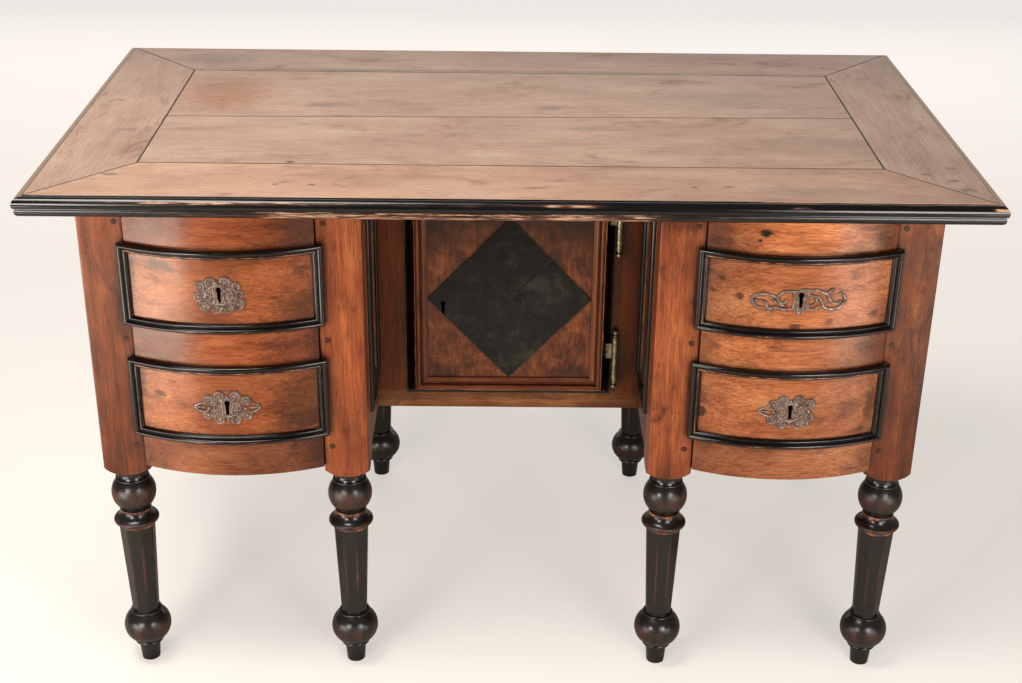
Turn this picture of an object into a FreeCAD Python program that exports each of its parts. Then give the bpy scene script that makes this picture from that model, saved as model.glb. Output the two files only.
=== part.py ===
import FreeCAD, Part
import math
import os

import Sketcher

# Driving dimensions of the desk, in millimetres
sizes = {
    # the top
    "top_width": 1280,
    "top_depth": 725,
    "top_thickness": 22,
    "end_board_width": 119.5,
    "front_board_width": 128,
    "back_board_width": 126,
    "plank_joint_left": -17,
    "plank_joint_right": 2,
    "board_gap": 1.4,
    "edge_width": 13.5,
    "edge_height": 27,
    # where the carcass stands under the top
    "front_overhang": 72.5,
    "back_overhang": 27.5,
    "side_overhang": 60,
    "kneehole_width": 400,
    # corner posts
    "post_size": 63,
    "post_arris": 2.5,
    "pommel_height": 17,
    "pommel_neck": 48,
    "pommel_rise": 4,
    # levels, stacked from the floor up
    "leg_height": 338,
    "rail_lift": 22,
    "bottom_rail_height": 61,
    "drawer_height": 103,
    "middle_rail_height": 68,
    "top_rail_height": 73,
    # turned legs, from the floor up
    "toe_tip": 27,
    "toe_top": 32,
    "toe_height": 31,
    "toe_collar": 40,
    "toe_collar_height": 5,
    "foot_ball": 70,
    "foot_ball_height": 50,
    "ankle": 44,
    "ankle_height": 4,
    "shaft_bottom": 37,
    "shaft_top": 49,
    "shaft_core": 28,
    "cap_diameter": 55,
    "cap_height": 7,
    "throat": 48,
    "throat_height": 8,
    "ring_seat": 50,
    "ring_diameter": 65,
    "ring_height": 14,
    "neck": 39,
    "neck_height": 11,
    "knee_ball": 63,
    "knee_ball_height": 50,
    "bead_diameter": 45,
    "bead_height": 6,
    "collar_height": 14,
    "dowel": 26,
    "dowel_length": 26,
    "dowel_clearance": 0.15,
    # bowed front rails, their tenons and pegs
    "bow_lead": 4.5,
    "bow_rise": 27,
    "rail_thickness": 40,
    "tenon_length": 24,
    "tenon_thickness": 14,
    "tenon_setback": 12,
    "tenon_shoulder": 8,
    "mortise_clearance": 0.2,
    "peg_diameter": 7.5,
    "peg_inset": 12,
    "peg_depth": 34,
    "peg_proud": 1,
    "peg_clearance": 0.1,
    # panels
    "panel_thickness": 20,
    "back_thickness": 18,
    "back_inset": 7,
    "bead_width": 16,
    "bead_thickness": 7,
    "bead_lap": 13,
    "bead_foot": 60,
    "bead_head": 23,
    "bead_end_gap": 2,
    # drawers
    "drawer_side_gap": 1,
    "drawer_top_gap": 1,
    "running_gap": 0.3,
    "face_proud": 0.4,
    "drawer_front_thickness": 28,
    "drawer_back_gap": 31.5,
    "drawer_side_thickness": 11,
    "drawer_side_height": 90,
    "drawer_bottom_thickness": 8,
    "drawer_bottom_lift": 6,
    "lip_width": 13,
    "lip_thickness": 9.5,
    "lip_lap": 8.5,
    "mitre_waste": 4,
    "runner_thickness": 18,
    "runner_lip": 16,
    "guide_height": 20,
    # locks, keyholes and escutcheons
    "key_drop": 3.5,
    "keyhole_bow": 8,
    "keyhole_slot": 4.6,
    "keyhole_length": 22,
    "lock_width": 64,
    "lock_height": 46,
    "lock_thickness": 14,
    "plate_thickness": 1.6,
    "rosette_width": 71,
    "rosette_height": 56,
    "cartouche_width": 88,
    "cartouche_height": 55,
    "scroll_width": 129,
    "scroll_height": 46,
    # kneehole cupboard
    "cupboard_setback": 180,
    "frame_thickness": 22,
    "floor_thickness": 18,
    "door_sill": 26,
    "door_head": 58,
    "door_margin": 46,
    "door_lip_width": 15,
    "door_lip_thickness": 21,
    "door_step": 12,
    "door_lap": 10,
    "door_gap": 2.5,
    "door_thickness": 20,
    "face_gap": 0.3,
    "inner_bead_width": 17,
    "inner_bead_thickness": 10,
    "lozenge_margin": 0.5,
    "lozenge_thickness": 3,
    "lozenge_gap": 0.8,
    "door_key_inset": 56,
    "door_key_drop": 14,
    # door hinges
    "hinge_length": 96.5,
    "hinge_diameter": 9.6,
    "hinge_offset": 6,
    "hinge_stand": 7,
    "hinge_foot": 12.5,
    "hinge_finial": 11,
    "hinge_lower_knuckle": 27,
    "hinge_play": 0.4,
    "hinge_pin": 5,
    "hinge_pin_length": 38,
    "hinge_pin_clearance": 0.05,
    "leaf_thickness": 1.6,
    "leaf_height": 24,
    "leaf_depth": 17,
    "door_leaf_reach": 15,
}

# Extra length that a cutting shape runs past the wood it cuts
waste = 1.0

doc = FreeCAD.newDocument("kneehole_desk")
sheet = doc.addObject("Spreadsheet::Sheet", "Sizes")
for row, (alias, number) in enumerate(sizes.items(), start=1):
    sheet.set(f"A{row}", alias.replace("_", " "))
    sheet.set(f"B{row}", str(number))
    sheet.setAlias(f"B{row}", alias)
doc.recompute()


class Size:
    """A length together with the sheet expression that drives it."""

    def __init__(self, value, text):
        self.value = value
        self.text = text

    def __add__(self, other):
        other = as_size(other)
        return Size(self.value + other.value, f"({self.text} + {other.text})")

    def __sub__(self, other):
        other = as_size(other)
        return Size(self.value - other.value, f"({self.text} - {other.text})")

    def __mul__(self, other):
        other = as_size(other)
        return Size(self.value * other.value, f"({self.text} * {other.text})")

    def __truediv__(self, other):
        other = as_size(other)
        return Size(self.value / other.value, f"({self.text} / {other.text})")

    def __neg__(self):
        return Size(-self.value, f"(-{self.text})")


def as_size(item):
    """A plain number becomes a size that no cell drives."""
    if isinstance(item, Size):
        return item
    return Size(float(item), f"({float(item)!r})")


def root(item):
    return Size(math.sqrt(item.value), f"sqrt({item.text})")


def arc_angle(half_chord, radius):
    """Angle in degrees that a half chord spans at the centre of its arc."""
    share = half_chord / radius
    return Size(math.degrees(math.asin(share.value)), f"(asin({share.text}) / 1 deg)")


s = {alias: Size(float(sheet.get(alias)), f"Sizes.{alias}") for alias in sizes}

# Pieces that are written out, by name
nodes = {}


def node(label, piece):
    piece.Label = label
    nodes[label] = piece
    return piece


def move(piece, x, y, z):
    for axis, item in zip("xyz", (x, y, z)):
        piece.setExpression(f"Placement.Base.{axis}", as_size(item).text)
    return piece


def board(name, corner, opposite):
    """Straight board between two opposite corners."""
    piece = doc.addObject("Part::Box", name)
    lows = []
    for side, first, second in zip(("Length", "Width", "Height"), corner, opposite):
        low, high = sorted((as_size(first), as_size(second)), key=lambda item: item.value)
        piece.setExpression(side, (high - low).text)
        lows.append(low)
    return move(piece, *lows)


def rod(name, radius, length, x, y, z):
    """Round rod that runs back along +Y from its front end."""
    piece = doc.addObject("Part::Cylinder", name)
    piece.setExpression("Radius", radius.text)
    piece.setExpression("Height", length.text)
    piece.Placement.Rotation = FreeCAD.Rotation(FreeCAD.Vector(1, 0, 0), -90)
    return move(piece, x, y, z)


def group(name, pieces):
    piece = doc.addObject("Part::Compound", name)
    piece.Links = pieces
    return piece


def fused(name, pieces):
    piece = doc.addObject("Part::MultiFuse", name)
    piece.Shapes = pieces
    return piece


def cut(name, base, tools):
    piece = doc.addObject("Part::Cut", name)
    piece.Base = base
    piece.Tool = group(f"{name}_cutters", tools)
    return piece


def new_body(name):
    return doc.addObject("PartDesign::Body", name)


def draw(sketch, outline):
    """Closed outline whose corners and arcs are all driven.

    A corner is (x, y), or (x, y, rise) where the edge that leaves it is an arc.
    The rise is positive where the arc stands to the left of the way along.
    """
    corners = [tuple(as_size(item) for item in corner) for corner in outline]
    first = sketch.GeometryCount
    heads = []
    radii = []
    for corner, following in zip(corners, corners[1:] + corners[:1]):
        start = FreeCAD.Vector(corner[0].value, corner[1].value)
        end = FreeCAD.Vector(following[0].value, following[1].value)
        if len(corner) == 2:
            sketch.addGeometry(Part.LineSegment(start, end))
            heads.append(1)
            radii.append(None)
            continue
        rise = corner[2]
        turns_left = rise.value < 0
        run = following[0] - corner[0]
        climb = following[1] - corner[1]
        height = -rise if turns_left else rise
        radius = (run * run + climb * climb + height * height * 4) / (height * 8)
        across = FreeCAD.Vector(start.y - end.y, end.x - start.x) / (end - start).Length
        centre = (start + end) / 2 + across * (rise.value - math.copysign(radius.value, rise.value))
        begin, finish = (start, end) if turns_left else (end, start)
        begin_angle = math.atan2(begin.y - centre.y, begin.x - centre.x)
        finish_angle = math.atan2(finish.y - centre.y, finish.x - centre.x)
        if finish_angle <= begin_angle:
            finish_angle += 2 * math.pi
        circle = Part.Circle(centre, FreeCAD.Vector(0, 0, 1), radius.value)
        sketch.addGeometry(Part.ArcOfCircle(circle, begin_angle, finish_angle))
        heads.append(1 if turns_left else 2)
        radii.append(radius)
    joints = []
    driven = []
    for index, corner in enumerate(corners):
        edge = first + index
        after = (index + 1) % len(corners)
        joints.append(Sketcher.Constraint("Coincident", edge, 3 - heads[index], first + after, heads[after]))
        driven.append((corner[0], ("DistanceX", -1, 1, edge, heads[index])))
        driven.append((corner[1], ("DistanceY", -1, 1, edge, heads[index])))
        if radii[index] is not None:
            driven.append((radii[index], ("Radius", edge)))
    sketch.addConstraint(joints)
    numbers = sketch.addConstraint([Sketcher.Constraint(*where, item.value) for item, where in driven])
    for number, (item, where) in zip(numbers, driven):
        sketch.setExpression(f"Constraints[{number}]", item.text)


def new_sketch(body, role, outlines, lift=None, turn=None):
    """Sketch on one of the body's own planes, raised along or turned about that plane's axes."""
    sketch = body.newObject("Sketcher::SketchObject", f"{body.Name}_outline")
    plane = next(item for item in body.Origin.OriginFeatures if item.Role == role)
    sketch.AttachmentSupport = (plane, [""])
    sketch.MapMode = "FlatFace"
    if lift is not None:
        sketch.setExpression("AttachmentOffset.Base.z", lift.text)
    if turn is not None:
        sketch.AttachmentOffset = FreeCAD.Placement(
            FreeCAD.Vector(), FreeCAD.Rotation(FreeCAD.Vector(0, 1, 0), turn.value))
        sketch.setExpression("AttachmentOffset.Rotation.Angle", turn.text)
    for outline in outlines:
        draw(sketch, outline)
    return sketch


def pad(body, role, outline, length, both_ways=False):
    feature = body.newObject("PartDesign::Pad", f"{body.Name}_pad")
    feature.Profile = new_sketch(body, role, [outline])
    feature.setExpression("Length", length.text)
    if both_ways:
        feature.SideType = "Symmetric"
    return feature


def pierce(body, role, outlines, turn=None):
    """Cut right through the body, square to a plane."""
    feature = body.newObject("PartDesign::Pocket", f"{body.Name}_pocket")
    feature.Profile = new_sketch(body, role, outlines, turn=turn)
    feature.Type = "ThroughAll"
    feature.SideType = "Symmetric"
    return feature


def revolve(body, kind, outline, angle=None):
    """Turn an outline about the body's upright axis, to add or to cut away."""
    sketch = new_sketch(body, "XZ_Plane", [outline])
    feature = body.newObject(f"PartDesign::{kind}", f"{body.Name}_{kind.lower()}")
    feature.Profile = sketch
    feature.ReferenceAxis = (sketch, ["V_Axis"])
    if angle is None:
        feature.Angle = 360
    else:
        feature.Midplane = True
        feature.setExpression("Angle", angle.text)
    return feature


def prism(name, outline, low, high):
    """Upright piece with a level outline."""
    body = new_body(name)
    pad(body, "XY_Plane", outline, high - low)
    return move(body, 0, 0, low)


def plate(name, outline, back, front):
    """Piece that faces the front, with its outline drawn in X and Z."""
    body = new_body(name)
    pad(body, "XZ_Plane", outline, back - front)
    return move(body, 0, back, 0)


# Sections of the mouldings, as shares of their width and thickness
edge_section = [(1, 0), (0.95, 0), (0.95, -0.075), (0.87, -0.075), (0.82, -0.04, -0.255), (0.274, -0.793),
                (0.46, -0.8), (0.46, -0.825), (0.4, -0.835), (0.4, -0.965), (0.46, -1), (1, -1)]
lip_section = [(0, 0), (0, 0.5, 0.33), (0.52, 0.72), (0.57, 0.46), (0.62, 0.46, 0.16), (0.94, 0.36),
               (1, 0.2), (1, 0)]
cove_section = [(0, 0), (0, 0.12), (0.1, 0.14, -0.14), (0.9, 0.97), (1, 1)]
inner_section = [(0, 0), (0, 0.7, 0.3), (0.4, 0.7), (0.44, 0.45), (0.52, 0.45), (0.56, 0.7, -0.12),
                 (0.9, 0.35), (0.9, 0.28), (1, 0.28), (1, 0)]


def section(shares, width, thickness):
    """Moulding outline: across from the outer edge, then up from the back."""
    outline = []
    for across, up, *rise in shares:
        outline.append((width * across, thickness * up, *[thickness * item for item in rise]))
    return outline


def mirrored(outline):
    """The same outline with its first direction turned round."""
    return [(-corner[0], corner[1], *[-item for item in corner[2:]]) for corner in outline]


def swapped(outline):
    """The same outline with its two directions exchanged."""
    return [(corner[1], corner[0], *[-item for item in corner[2:]]) for corner in outline]


def shifted(outline, x, y):
    return [(corner[0] + x, corner[1] + y, *corner[2:]) for corner in outline]


def mitred_strip(name, length, width, outline):
    """Straight moulding along X with its outer edge on the X axis and both ends mitred."""
    body = new_body(name)
    pad(body, "YZ_Plane", outline, length, both_ways=True)
    half = length / 2
    end_waste = [(half + waste, as_size(-waste)), (half + waste, width + waste),
                 (half - width - waste, width + waste)]
    pierce(body, "XY_Plane", [end_waste, mirrored(end_waste)])
    return body


def mitred_frame(name, centre, across, up, width, height, strip_width, outline):
    """Four mitred strips round a rectangle whose plane is spanned by two directions."""
    across = FreeCAD.Vector(*across)
    up = FreeCAD.Vector(*up)
    flat = FreeCAD.Rotation(across, up, across.cross(up), "XYZ")
    strips = []
    for turn, (length, reach) in enumerate([(width, height), (height, width)] * 2):
        strip = mitred_strip(f"{name}_strip", length, strip_width, outline)
        spin = FreeCAD.Rotation(FreeCAD.Vector(0, 0, 1), 90 * turn)
        strip.Placement.Rotation = flat.multiply(spin)
        outward = strip.Placement.Rotation.multVec(FreeCAD.Vector(0, -1, 0))
        place = [item + reach / 2 * round(share) for item, share in zip(centre, outward)]
        strips.append(move(strip, *place))
    return strips


# Shared places
half_width = s["top_width"] / 2
half_depth = s["top_depth"] / 2
outer_x = half_width - s["side_overhang"]
inner_x = s["kneehole_width"] / 2
post_front = -half_depth + s["front_overhang"]
post_back = half_depth - s["back_overhang"]
front_post_back = post_front + s["post_size"]
back_post_front = post_back - s["post_size"]
post_half = s["post_size"] / 2
back_wall = post_back - s["back_inset"] - s["back_thickness"]
opening_inner = inner_x + s["post_size"]
opening_outer = outer_x - s["post_size"]
opening_half = (opening_outer - opening_inner) / 2
pedestal_x = (opening_outer + opening_inner) / 2

case_low = s["leg_height"] + s["rail_lift"]
lower_drawer_z = case_low + s["bottom_rail_height"]
middle_rail_z = lower_drawer_z + s["drawer_height"]
upper_drawer_z = middle_rail_z + s["middle_rail_height"]
top_rail_z = upper_drawer_z + s["drawer_height"]
case_top = top_rail_z + s["top_rail_height"]
desk_top = case_top + s["top_thickness"]

bow_radius = (opening_half * opening_half + s["bow_rise"] * s["bow_rise"]) / (s["bow_rise"] * 2)
bow_centre = post_front - s["bow_lead"] - s["bow_rise"] + bow_radius
face_radius = bow_radius + s["face_proud"]

sides = {"left": -1, "right": 1}
rails = {
    "bottom": (case_low, lower_drawer_z),
    "middle": (middle_rail_z, upper_drawer_z),
    "top": (top_rail_z, case_top),
}


def make_top():
    edge_x = half_width - s["edge_width"]
    edge_y = half_depth - s["edge_width"]
    inner_edge_x = edge_x - s["end_board_width"]
    front_y = -edge_y + s["front_board_width"]
    back_y = edge_y - s["back_board_width"]
    gap = s["board_gap"]
    for name, outer_y, inner_y in (("front", -edge_y, front_y), ("back", edge_y, back_y)):
        corners = [(-edge_x + gap, outer_y), (edge_x - gap, outer_y),
                   (inner_edge_x - gap, inner_y), (-inner_edge_x + gap, inner_y)]
        node(f"{name}_border_board", prism(f"{name}_border", corners, case_top, desk_top))
    for name, side in sides.items():
        corners = [(edge_x * side, -edge_y), (edge_x * side, edge_y),
                   (inner_edge_x * side, back_y), (inner_edge_x * side, front_y)]
        node(f"{name}_end_board", prism(f"{name}_end", corners, case_top, desk_top))
    plank_x = inner_edge_x - gap
    joint_left = s["plank_joint_left"]
    joint_right = s["plank_joint_right"]
    front_plank = [(-plank_x, front_y + gap), (plank_x, front_y + gap),
                   (plank_x, joint_right), (-plank_x, joint_left)]
    back_plank = [(-plank_x, joint_left + gap), (plank_x, joint_right + gap),
                  (plank_x, back_y - gap), (-plank_x, back_y - gap)]
    node("front_plank", prism("front_plank", front_plank, case_top, desk_top))
    node("back_plank", prism("back_plank", back_plank, case_top, desk_top))
    outline = section(edge_section, s["edge_width"], s["edge_height"])
    strips = mitred_frame("edge", (as_size(0), as_size(0), desk_top), (1, 0, 0), (0, 1, 0),
                          s["top_width"], s["top_depth"], s["edge_width"], outline)
    node("top_edge_moulding", group("edge_moulding", strips))


def tenon(name, edge_x, away, low, high, ease, deeper):
    """Tenon that leaves a drawer opening's edge, or with some ease its mortise."""
    y = post_front + s["tenon_setback"]
    return board(name, (edge_x, y - ease, low + s["tenon_shoulder"] - ease),
                 (edge_x + (s["tenon_length"] + deeper) * away, y + s["tenon_thickness"] + ease,
                  high - s["tenon_shoulder"] + ease))


def peg(name, edge_x, away, low, high, ease, proud):
    """Joint peg through a tenon, or with some ease its hole."""
    return rod(name, s["peg_diameter"] / 2 + ease, s["peg_depth"] + proud,
               edge_x + s["peg_inset"] * away, post_front - proud, (low + high) / 2)


def make_post(name, x, y):
    """Square post with softened arrises, a turned shoulder and a socket for its leg."""
    body = new_body(name)
    square = [(-post_half, -post_half), (post_half, -post_half),
              (post_half, post_half), (-post_half, post_half)]
    blank = pad(body, "XY_Plane", square, case_top - s["leg_height"])
    doc.recompute()
    upright = [f"Edge{number}" for number, edge in enumerate(blank.Shape.Edges, start=1)
               if abs(edge.tangentAt(edge.FirstParameter).z) > 0.99]
    arris = body.newObject("PartDesign::Fillet", f"{name}_arris")
    arris.Base = (blank, upright)
    arris.setExpression("Radius", s["post_arris"].text)
    corner = s["post_size"] * math.sqrt(0.5)
    neck = s["pommel_neck"] / 2
    shoulder = [(neck, 0, -s["pommel_rise"]), (corner, s["pommel_height"]),
                (corner + waste, s["pommel_height"]), (corner + waste, -waste), (neck, -waste)]
    revolve(body, "Groove", shoulder)
    socket_radius = s["dowel"] / 2 + s["dowel_clearance"]
    socket = [(0, -waste), (socket_radius, -waste),
              (socket_radius, s["dowel_length"]), (0, s["dowel_length"])]
    revolve(body, "Groove", socket)
    return move(body, x, y, s["leg_height"])


def make_posts():
    for name, side in sides.items():
        for place, edge_x, away in (("inner", opening_inner, -1), ("outer", opening_outer, 1)):
            x = (edge_x + post_half * away) * side
            front = make_post(f"{name}_{place}_front", x, post_front + post_half)
            cutters = []
            for rail, (low, high) in rails.items():
                cutters.append(tenon(f"{name}_{place}_{rail}_mortise", edge_x * side, away * side, low, high,
                                     s["mortise_clearance"], s["mortise_clearance"]))
                cutters.append(peg(f"{name}_{place}_{rail}_hole", edge_x * side, away * side, low, high,
                                   s["peg_clearance"], as_size(0)))
            node(f"{name}_{place}_front_post", cut(f"{name}_{place}_front_mortised", front, cutters))
            back = make_post(f"{name}_{place}_back", x, post_back - post_half)
            node(f"{name}_{place}_back_post", back)


def octagon(across):
    half = across / 2
    corner = half * math.tan(math.radians(22.5))
    ring = [(half, -corner), (half, corner), (corner, half), (-corner, half)]
    return ring + [(-x, -y) for x, y in ring]


def make_leg(name, x, y):
    """Turned leg with an octagonal tapering shaft between its two balls."""
    collar_z = s["toe_height"]
    ball_z = collar_z + s["toe_collar_height"]
    ankle_z = ball_z + s["foot_ball_height"]
    shaft_low = ankle_z + s["ankle_height"]
    top = s["leg_height"]
    bead_z = top - s["collar_height"] - s["bead_height"]
    knee_z = bead_z - s["knee_ball_height"]
    neck_z = knee_z - s["neck_height"]
    ring_z = neck_z - s["ring_height"]
    throat_z = ring_z - s["throat_height"]
    shaft_high = throat_z - s["cap_height"]
    toe_collar = s["toe_collar"] / 2
    ankle = s["ankle"] / 2
    core = s["shaft_core"] / 2
    cap = s["cap_diameter"] / 2
    throat = s["throat"] / 2
    ring_seat = s["ring_seat"] / 2
    neck = s["neck"] / 2
    bead = s["bead_diameter"] / 2
    collar = s["pommel_neck"] / 2
    dowel = s["dowel"] / 2
    profile = [
        (0, 0), (s["toe_tip"] / 2, 0), (s["toe_top"] / 2, collar_z),
        (toe_collar, collar_z, -s["toe_collar_height"] / 3),
        (toe_collar, ball_z, (toe_collar + ankle) / 2 - s["foot_ball"] / 2),
        (ankle, ankle_z, -s["ankle_height"] / 3), (ankle, shaft_low), (core, shaft_low), (core, shaft_high),
        (cap, shaft_high, -s["cap_height"] / 4), (cap, throat_z),
        (throat, throat_z, s["throat_height"] / 5), (ring_seat, ring_z, ring_seat - s["ring_diameter"] / 2),
        (ring_seat, neck_z, s["neck_height"] / 5), (neck, knee_z, neck - s["knee_ball"] / 2),
        (neck, bead_z), (bead, bead_z, -s["bead_height"] / 4), (bead, bead_z + s["bead_height"]),
        (neck, bead_z + s["bead_height"], s["collar_height"] / 8), (collar, top - s["collar_height"] / 4),
        (collar, top), (dowel, top), (dowel, top + s["dowel_length"]), (0, top + s["dowel_length"]),
    ]
    body = new_body(name)
    revolve(body, "Revolution", profile)
    low = new_sketch(body, "XY_Plane", [octagon(s["shaft_bottom"])], lift=shaft_low)
    high = new_sketch(body, "XY_Plane", [octagon(s["shaft_top"])], lift=shaft_high)
    shaft = body.newObject("PartDesign::AdditiveLoft", f"{name}_shaft")
    shaft.Profile = low
    shaft.Sections = [high]
    shaft.Ruled = True
    return move(body, x, y, 0)


def make_legs():
    for name, side in sides.items():
        legs = []
        for x in (inner_x + post_half, outer_x - post_half):
            for y in (post_front + post_half, post_back - post_half):
                legs.append(make_leg(f"{name}_leg", x * side, y))
        node(f"{name}_legs", group(f"{name}_leg_set", legs))


def bow_plan(x, half, back, radius):
    """Level outline with a flat back and a front on the bow."""
    rise = radius - root(radius * radius - half * half)
    ends = bow_centre - radius + rise
    return [(x - half, back), (x + half, back), (x + half, ends, rise), (x - half, ends)]


def make_rails():
    back = post_front - s["bow_lead"] + s["rail_thickness"]
    pegs = []
    for name, side in sides.items():
        for rail, (low, high) in rails.items():
            label = f"{name}_{rail}_rail"
            plan = bow_plan(pedestal_x * side, opening_half, back, bow_radius)
            blank = prism(f"{label}_blank", plan, low, high)
            tongues = []
            holes = []
            for place, edge_x, away in (("inner", opening_inner, -1), ("outer", opening_outer, 1)):
                spot = (edge_x * side, away * side, low, high)
                tongues.append(tenon(f"{label}_{place}_tenon", *spot, as_size(0), as_size(0)))
                holes.append(peg(f"{label}_{place}_hole", *spot, s["peg_clearance"], as_size(0)))
                pegs.append(peg(f"{label}_{place}_peg", *spot, as_size(0), s["peg_proud"]))
            node(label, cut(f"{label}_bored", fused(f"{label}_tenoned", [blank] + tongues), holes))
    node("joint_pegs", group("joint_peg_set", pegs))


face_y = post_front + s["cupboard_setback"]


def make_panels():
    bead = section(lip_section, s["bead_width"], s["bead_thickness"])
    bead_low = case_low + s["bead_foot"]
    bead_high = case_top - s["bead_head"]
    bead_front = front_post_back - s["bead_lap"]
    for name, side in sides.items():
        panels = []
        strips = []
        for place, x, away in (("inner", inner_x, 1), ("outer", outer_x, -1)):
            panels.append(board(f"{name}_{place}_panel", (x * side, front_post_back, case_low),
                                ((x + s["panel_thickness"] * away) * side, back_post_front, case_top)))
            bead_back = face_y - s["bead_end_gap"] if place == "inner" else back_post_front + s["bead_lap"]
            centre = (x * side, (bead_front + bead_back) / 2, (bead_low + bead_high) / 2)
            strips += mitred_frame(f"{name}_{place}_bead", centre, (0, -away * side, 0), (0, 0, 1),
                                   bead_back - bead_front, bead_high - bead_low, s["bead_width"], bead)
        node(f"{name}_side_panels", group(f"{name}_panels", panels))
        node(f"{name}_side_mouldings", group(f"{name}_beads", strips))
    spans = (("left", -opening_outer, -opening_inner), ("middle", -inner_x, inner_x),
             ("right", opening_inner, opening_outer))
    outside = back_wall + s["back_thickness"]
    backs = [board(f"{name}_back", (low, back_wall, case_low), (high, outside, case_top))
             for name, low, high in spans]
    node("back_panels", group("backs", backs))


def make_runners():
    for name, side in sides.items():
        pieces = []
        for level, z in (("lower", lower_drawer_z), ("upper", upper_drawer_z)):
            for place, wall_x, edge_x, away in (
                    ("inner", inner_x + s["panel_thickness"], opening_inner, 1),
                    ("outer", outer_x - s["panel_thickness"], opening_outer, -1)):
                label = f"{name}_{level}_{place}"
                pieces.append(board(f"{label}_runner",
                                    (wall_x * side, front_post_back, z - s["runner_thickness"]),
                                    ((edge_x + s["runner_lip"] * away) * side, back_post_front, z)))
                pieces.append(board(f"{label}_guide", (wall_x * side, front_post_back, z),
                                    (edge_x * side, back_post_front, z + s["guide_height"])))
        node(f"{name}_drawer_runners", group(f"{name}_runners", pieces))


def keyhole(x, z):
    """Round bow over a straight slot, with its middle at half its length."""
    slot = s["keyhole_slot"] / 2
    bow = s["keyhole_bow"] / 2
    low = z - s["keyhole_length"] / 2
    join = z + s["keyhole_length"] / 2 - bow - root(bow * bow - slot * slot)
    rise = bow + root(bow * bow - slot * slot)
    return [(x - slot, low), (x + slot, low), (x + slot, join, -rise), (x - slot, join)]


def lobed(width, height, lobes, depth):
    """Ring of scallops round an ellipse; the cusps lie inside the outline by the depth."""
    outline = []
    for index in range(lobes):
        angle = 2 * math.pi * (index + 0.5) / lobes
        cusp = ((width / 2 - depth) * math.cos(angle), (height / 2 - depth) * math.sin(angle))
        outline.append((*cusp, -depth))
    return outline


def pointed(width, height, depth):
    """Cartouche with scalloped long sides and a point at each end."""
    cusps = [(0.30, 0.40), (0.17, 0.86), (-0.17, 0.86)]
    upper = [(width * x, (height / 2 - depth) * y, -depth) for x, y in cusps]
    upper.append((-width * 0.30, (height / 2 - depth) * 0.40, depth * 0.3))
    tip = (-width / 2, as_size(0), depth * 0.3)
    lower = [(-x, -y, *rise) for x, y, *rise in upper]
    return upper + [tip] + lower + [(-tip[0], tip[1], depth * 0.3)]


def scrolled(width, height, depth):
    """Slender plate with a lobed middle and two scrolled arms."""
    cusps = [(0.20, 0.42), (0.10, 0.80), (-0.10, 0.80), (-0.20, 0.42), (-0.33, 0.52)]
    upper = [(width * x, (height / 2 - depth) * y, -depth) for x, y in cusps]
    tip = (-width / 2 + depth, -height * 0.06, -depth)
    lower = [(-x, -y, *rise) for x, y, *rise in upper]
    far_tip = (width / 2 - depth, height * 0.06, -depth)
    return upper + [tip] + lower + [far_tip]


plates = {
    "left_upper": lobed(s["rosette_width"], s["rosette_height"], 10, s["rosette_height"] / 11),
    "left_lower": pointed(s["cartouche_width"], s["cartouche_height"], s["cartouche_height"] / 11),
    "right_upper": scrolled(s["scroll_width"], s["scroll_height"], s["scroll_height"] / 11),
    "right_lower": pointed(s["cartouche_width"], s["cartouche_height"], s["cartouche_height"] / 11),
}


def bent_plate(name, outline, x, z):
    """Thin plate bent to the bow of a drawer face, with a keyhole at its middle."""
    body = new_body(name)
    half = max((corner[0] for corner in outline), key=lambda item: item.value) + s["cartouche_height"] / 6
    tall = max((corner[1] for corner in outline), key=lambda item: item.value) + s["cartouche_height"] / 6
    blank = [(face_radius, -tall), (face_radius + s["plate_thickness"], -tall),
             (face_radius + s["plate_thickness"], tall), (face_radius, tall)]
    revolve(body, "Revolution", blank, angle=arc_angle(half, face_radius) * 2)
    far = half * 2
    around = [(-far, -far), (far, -far), (far, far), (-far, far)]
    pierce(body, "YZ_Plane", [around, outline, keyhole(as_size(0), as_size(0))])
    body.Placement.Rotation = FreeCAD.Rotation(FreeCAD.Vector(0, 0, 1), -90)
    return move(body, x, bow_centre, z)


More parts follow.
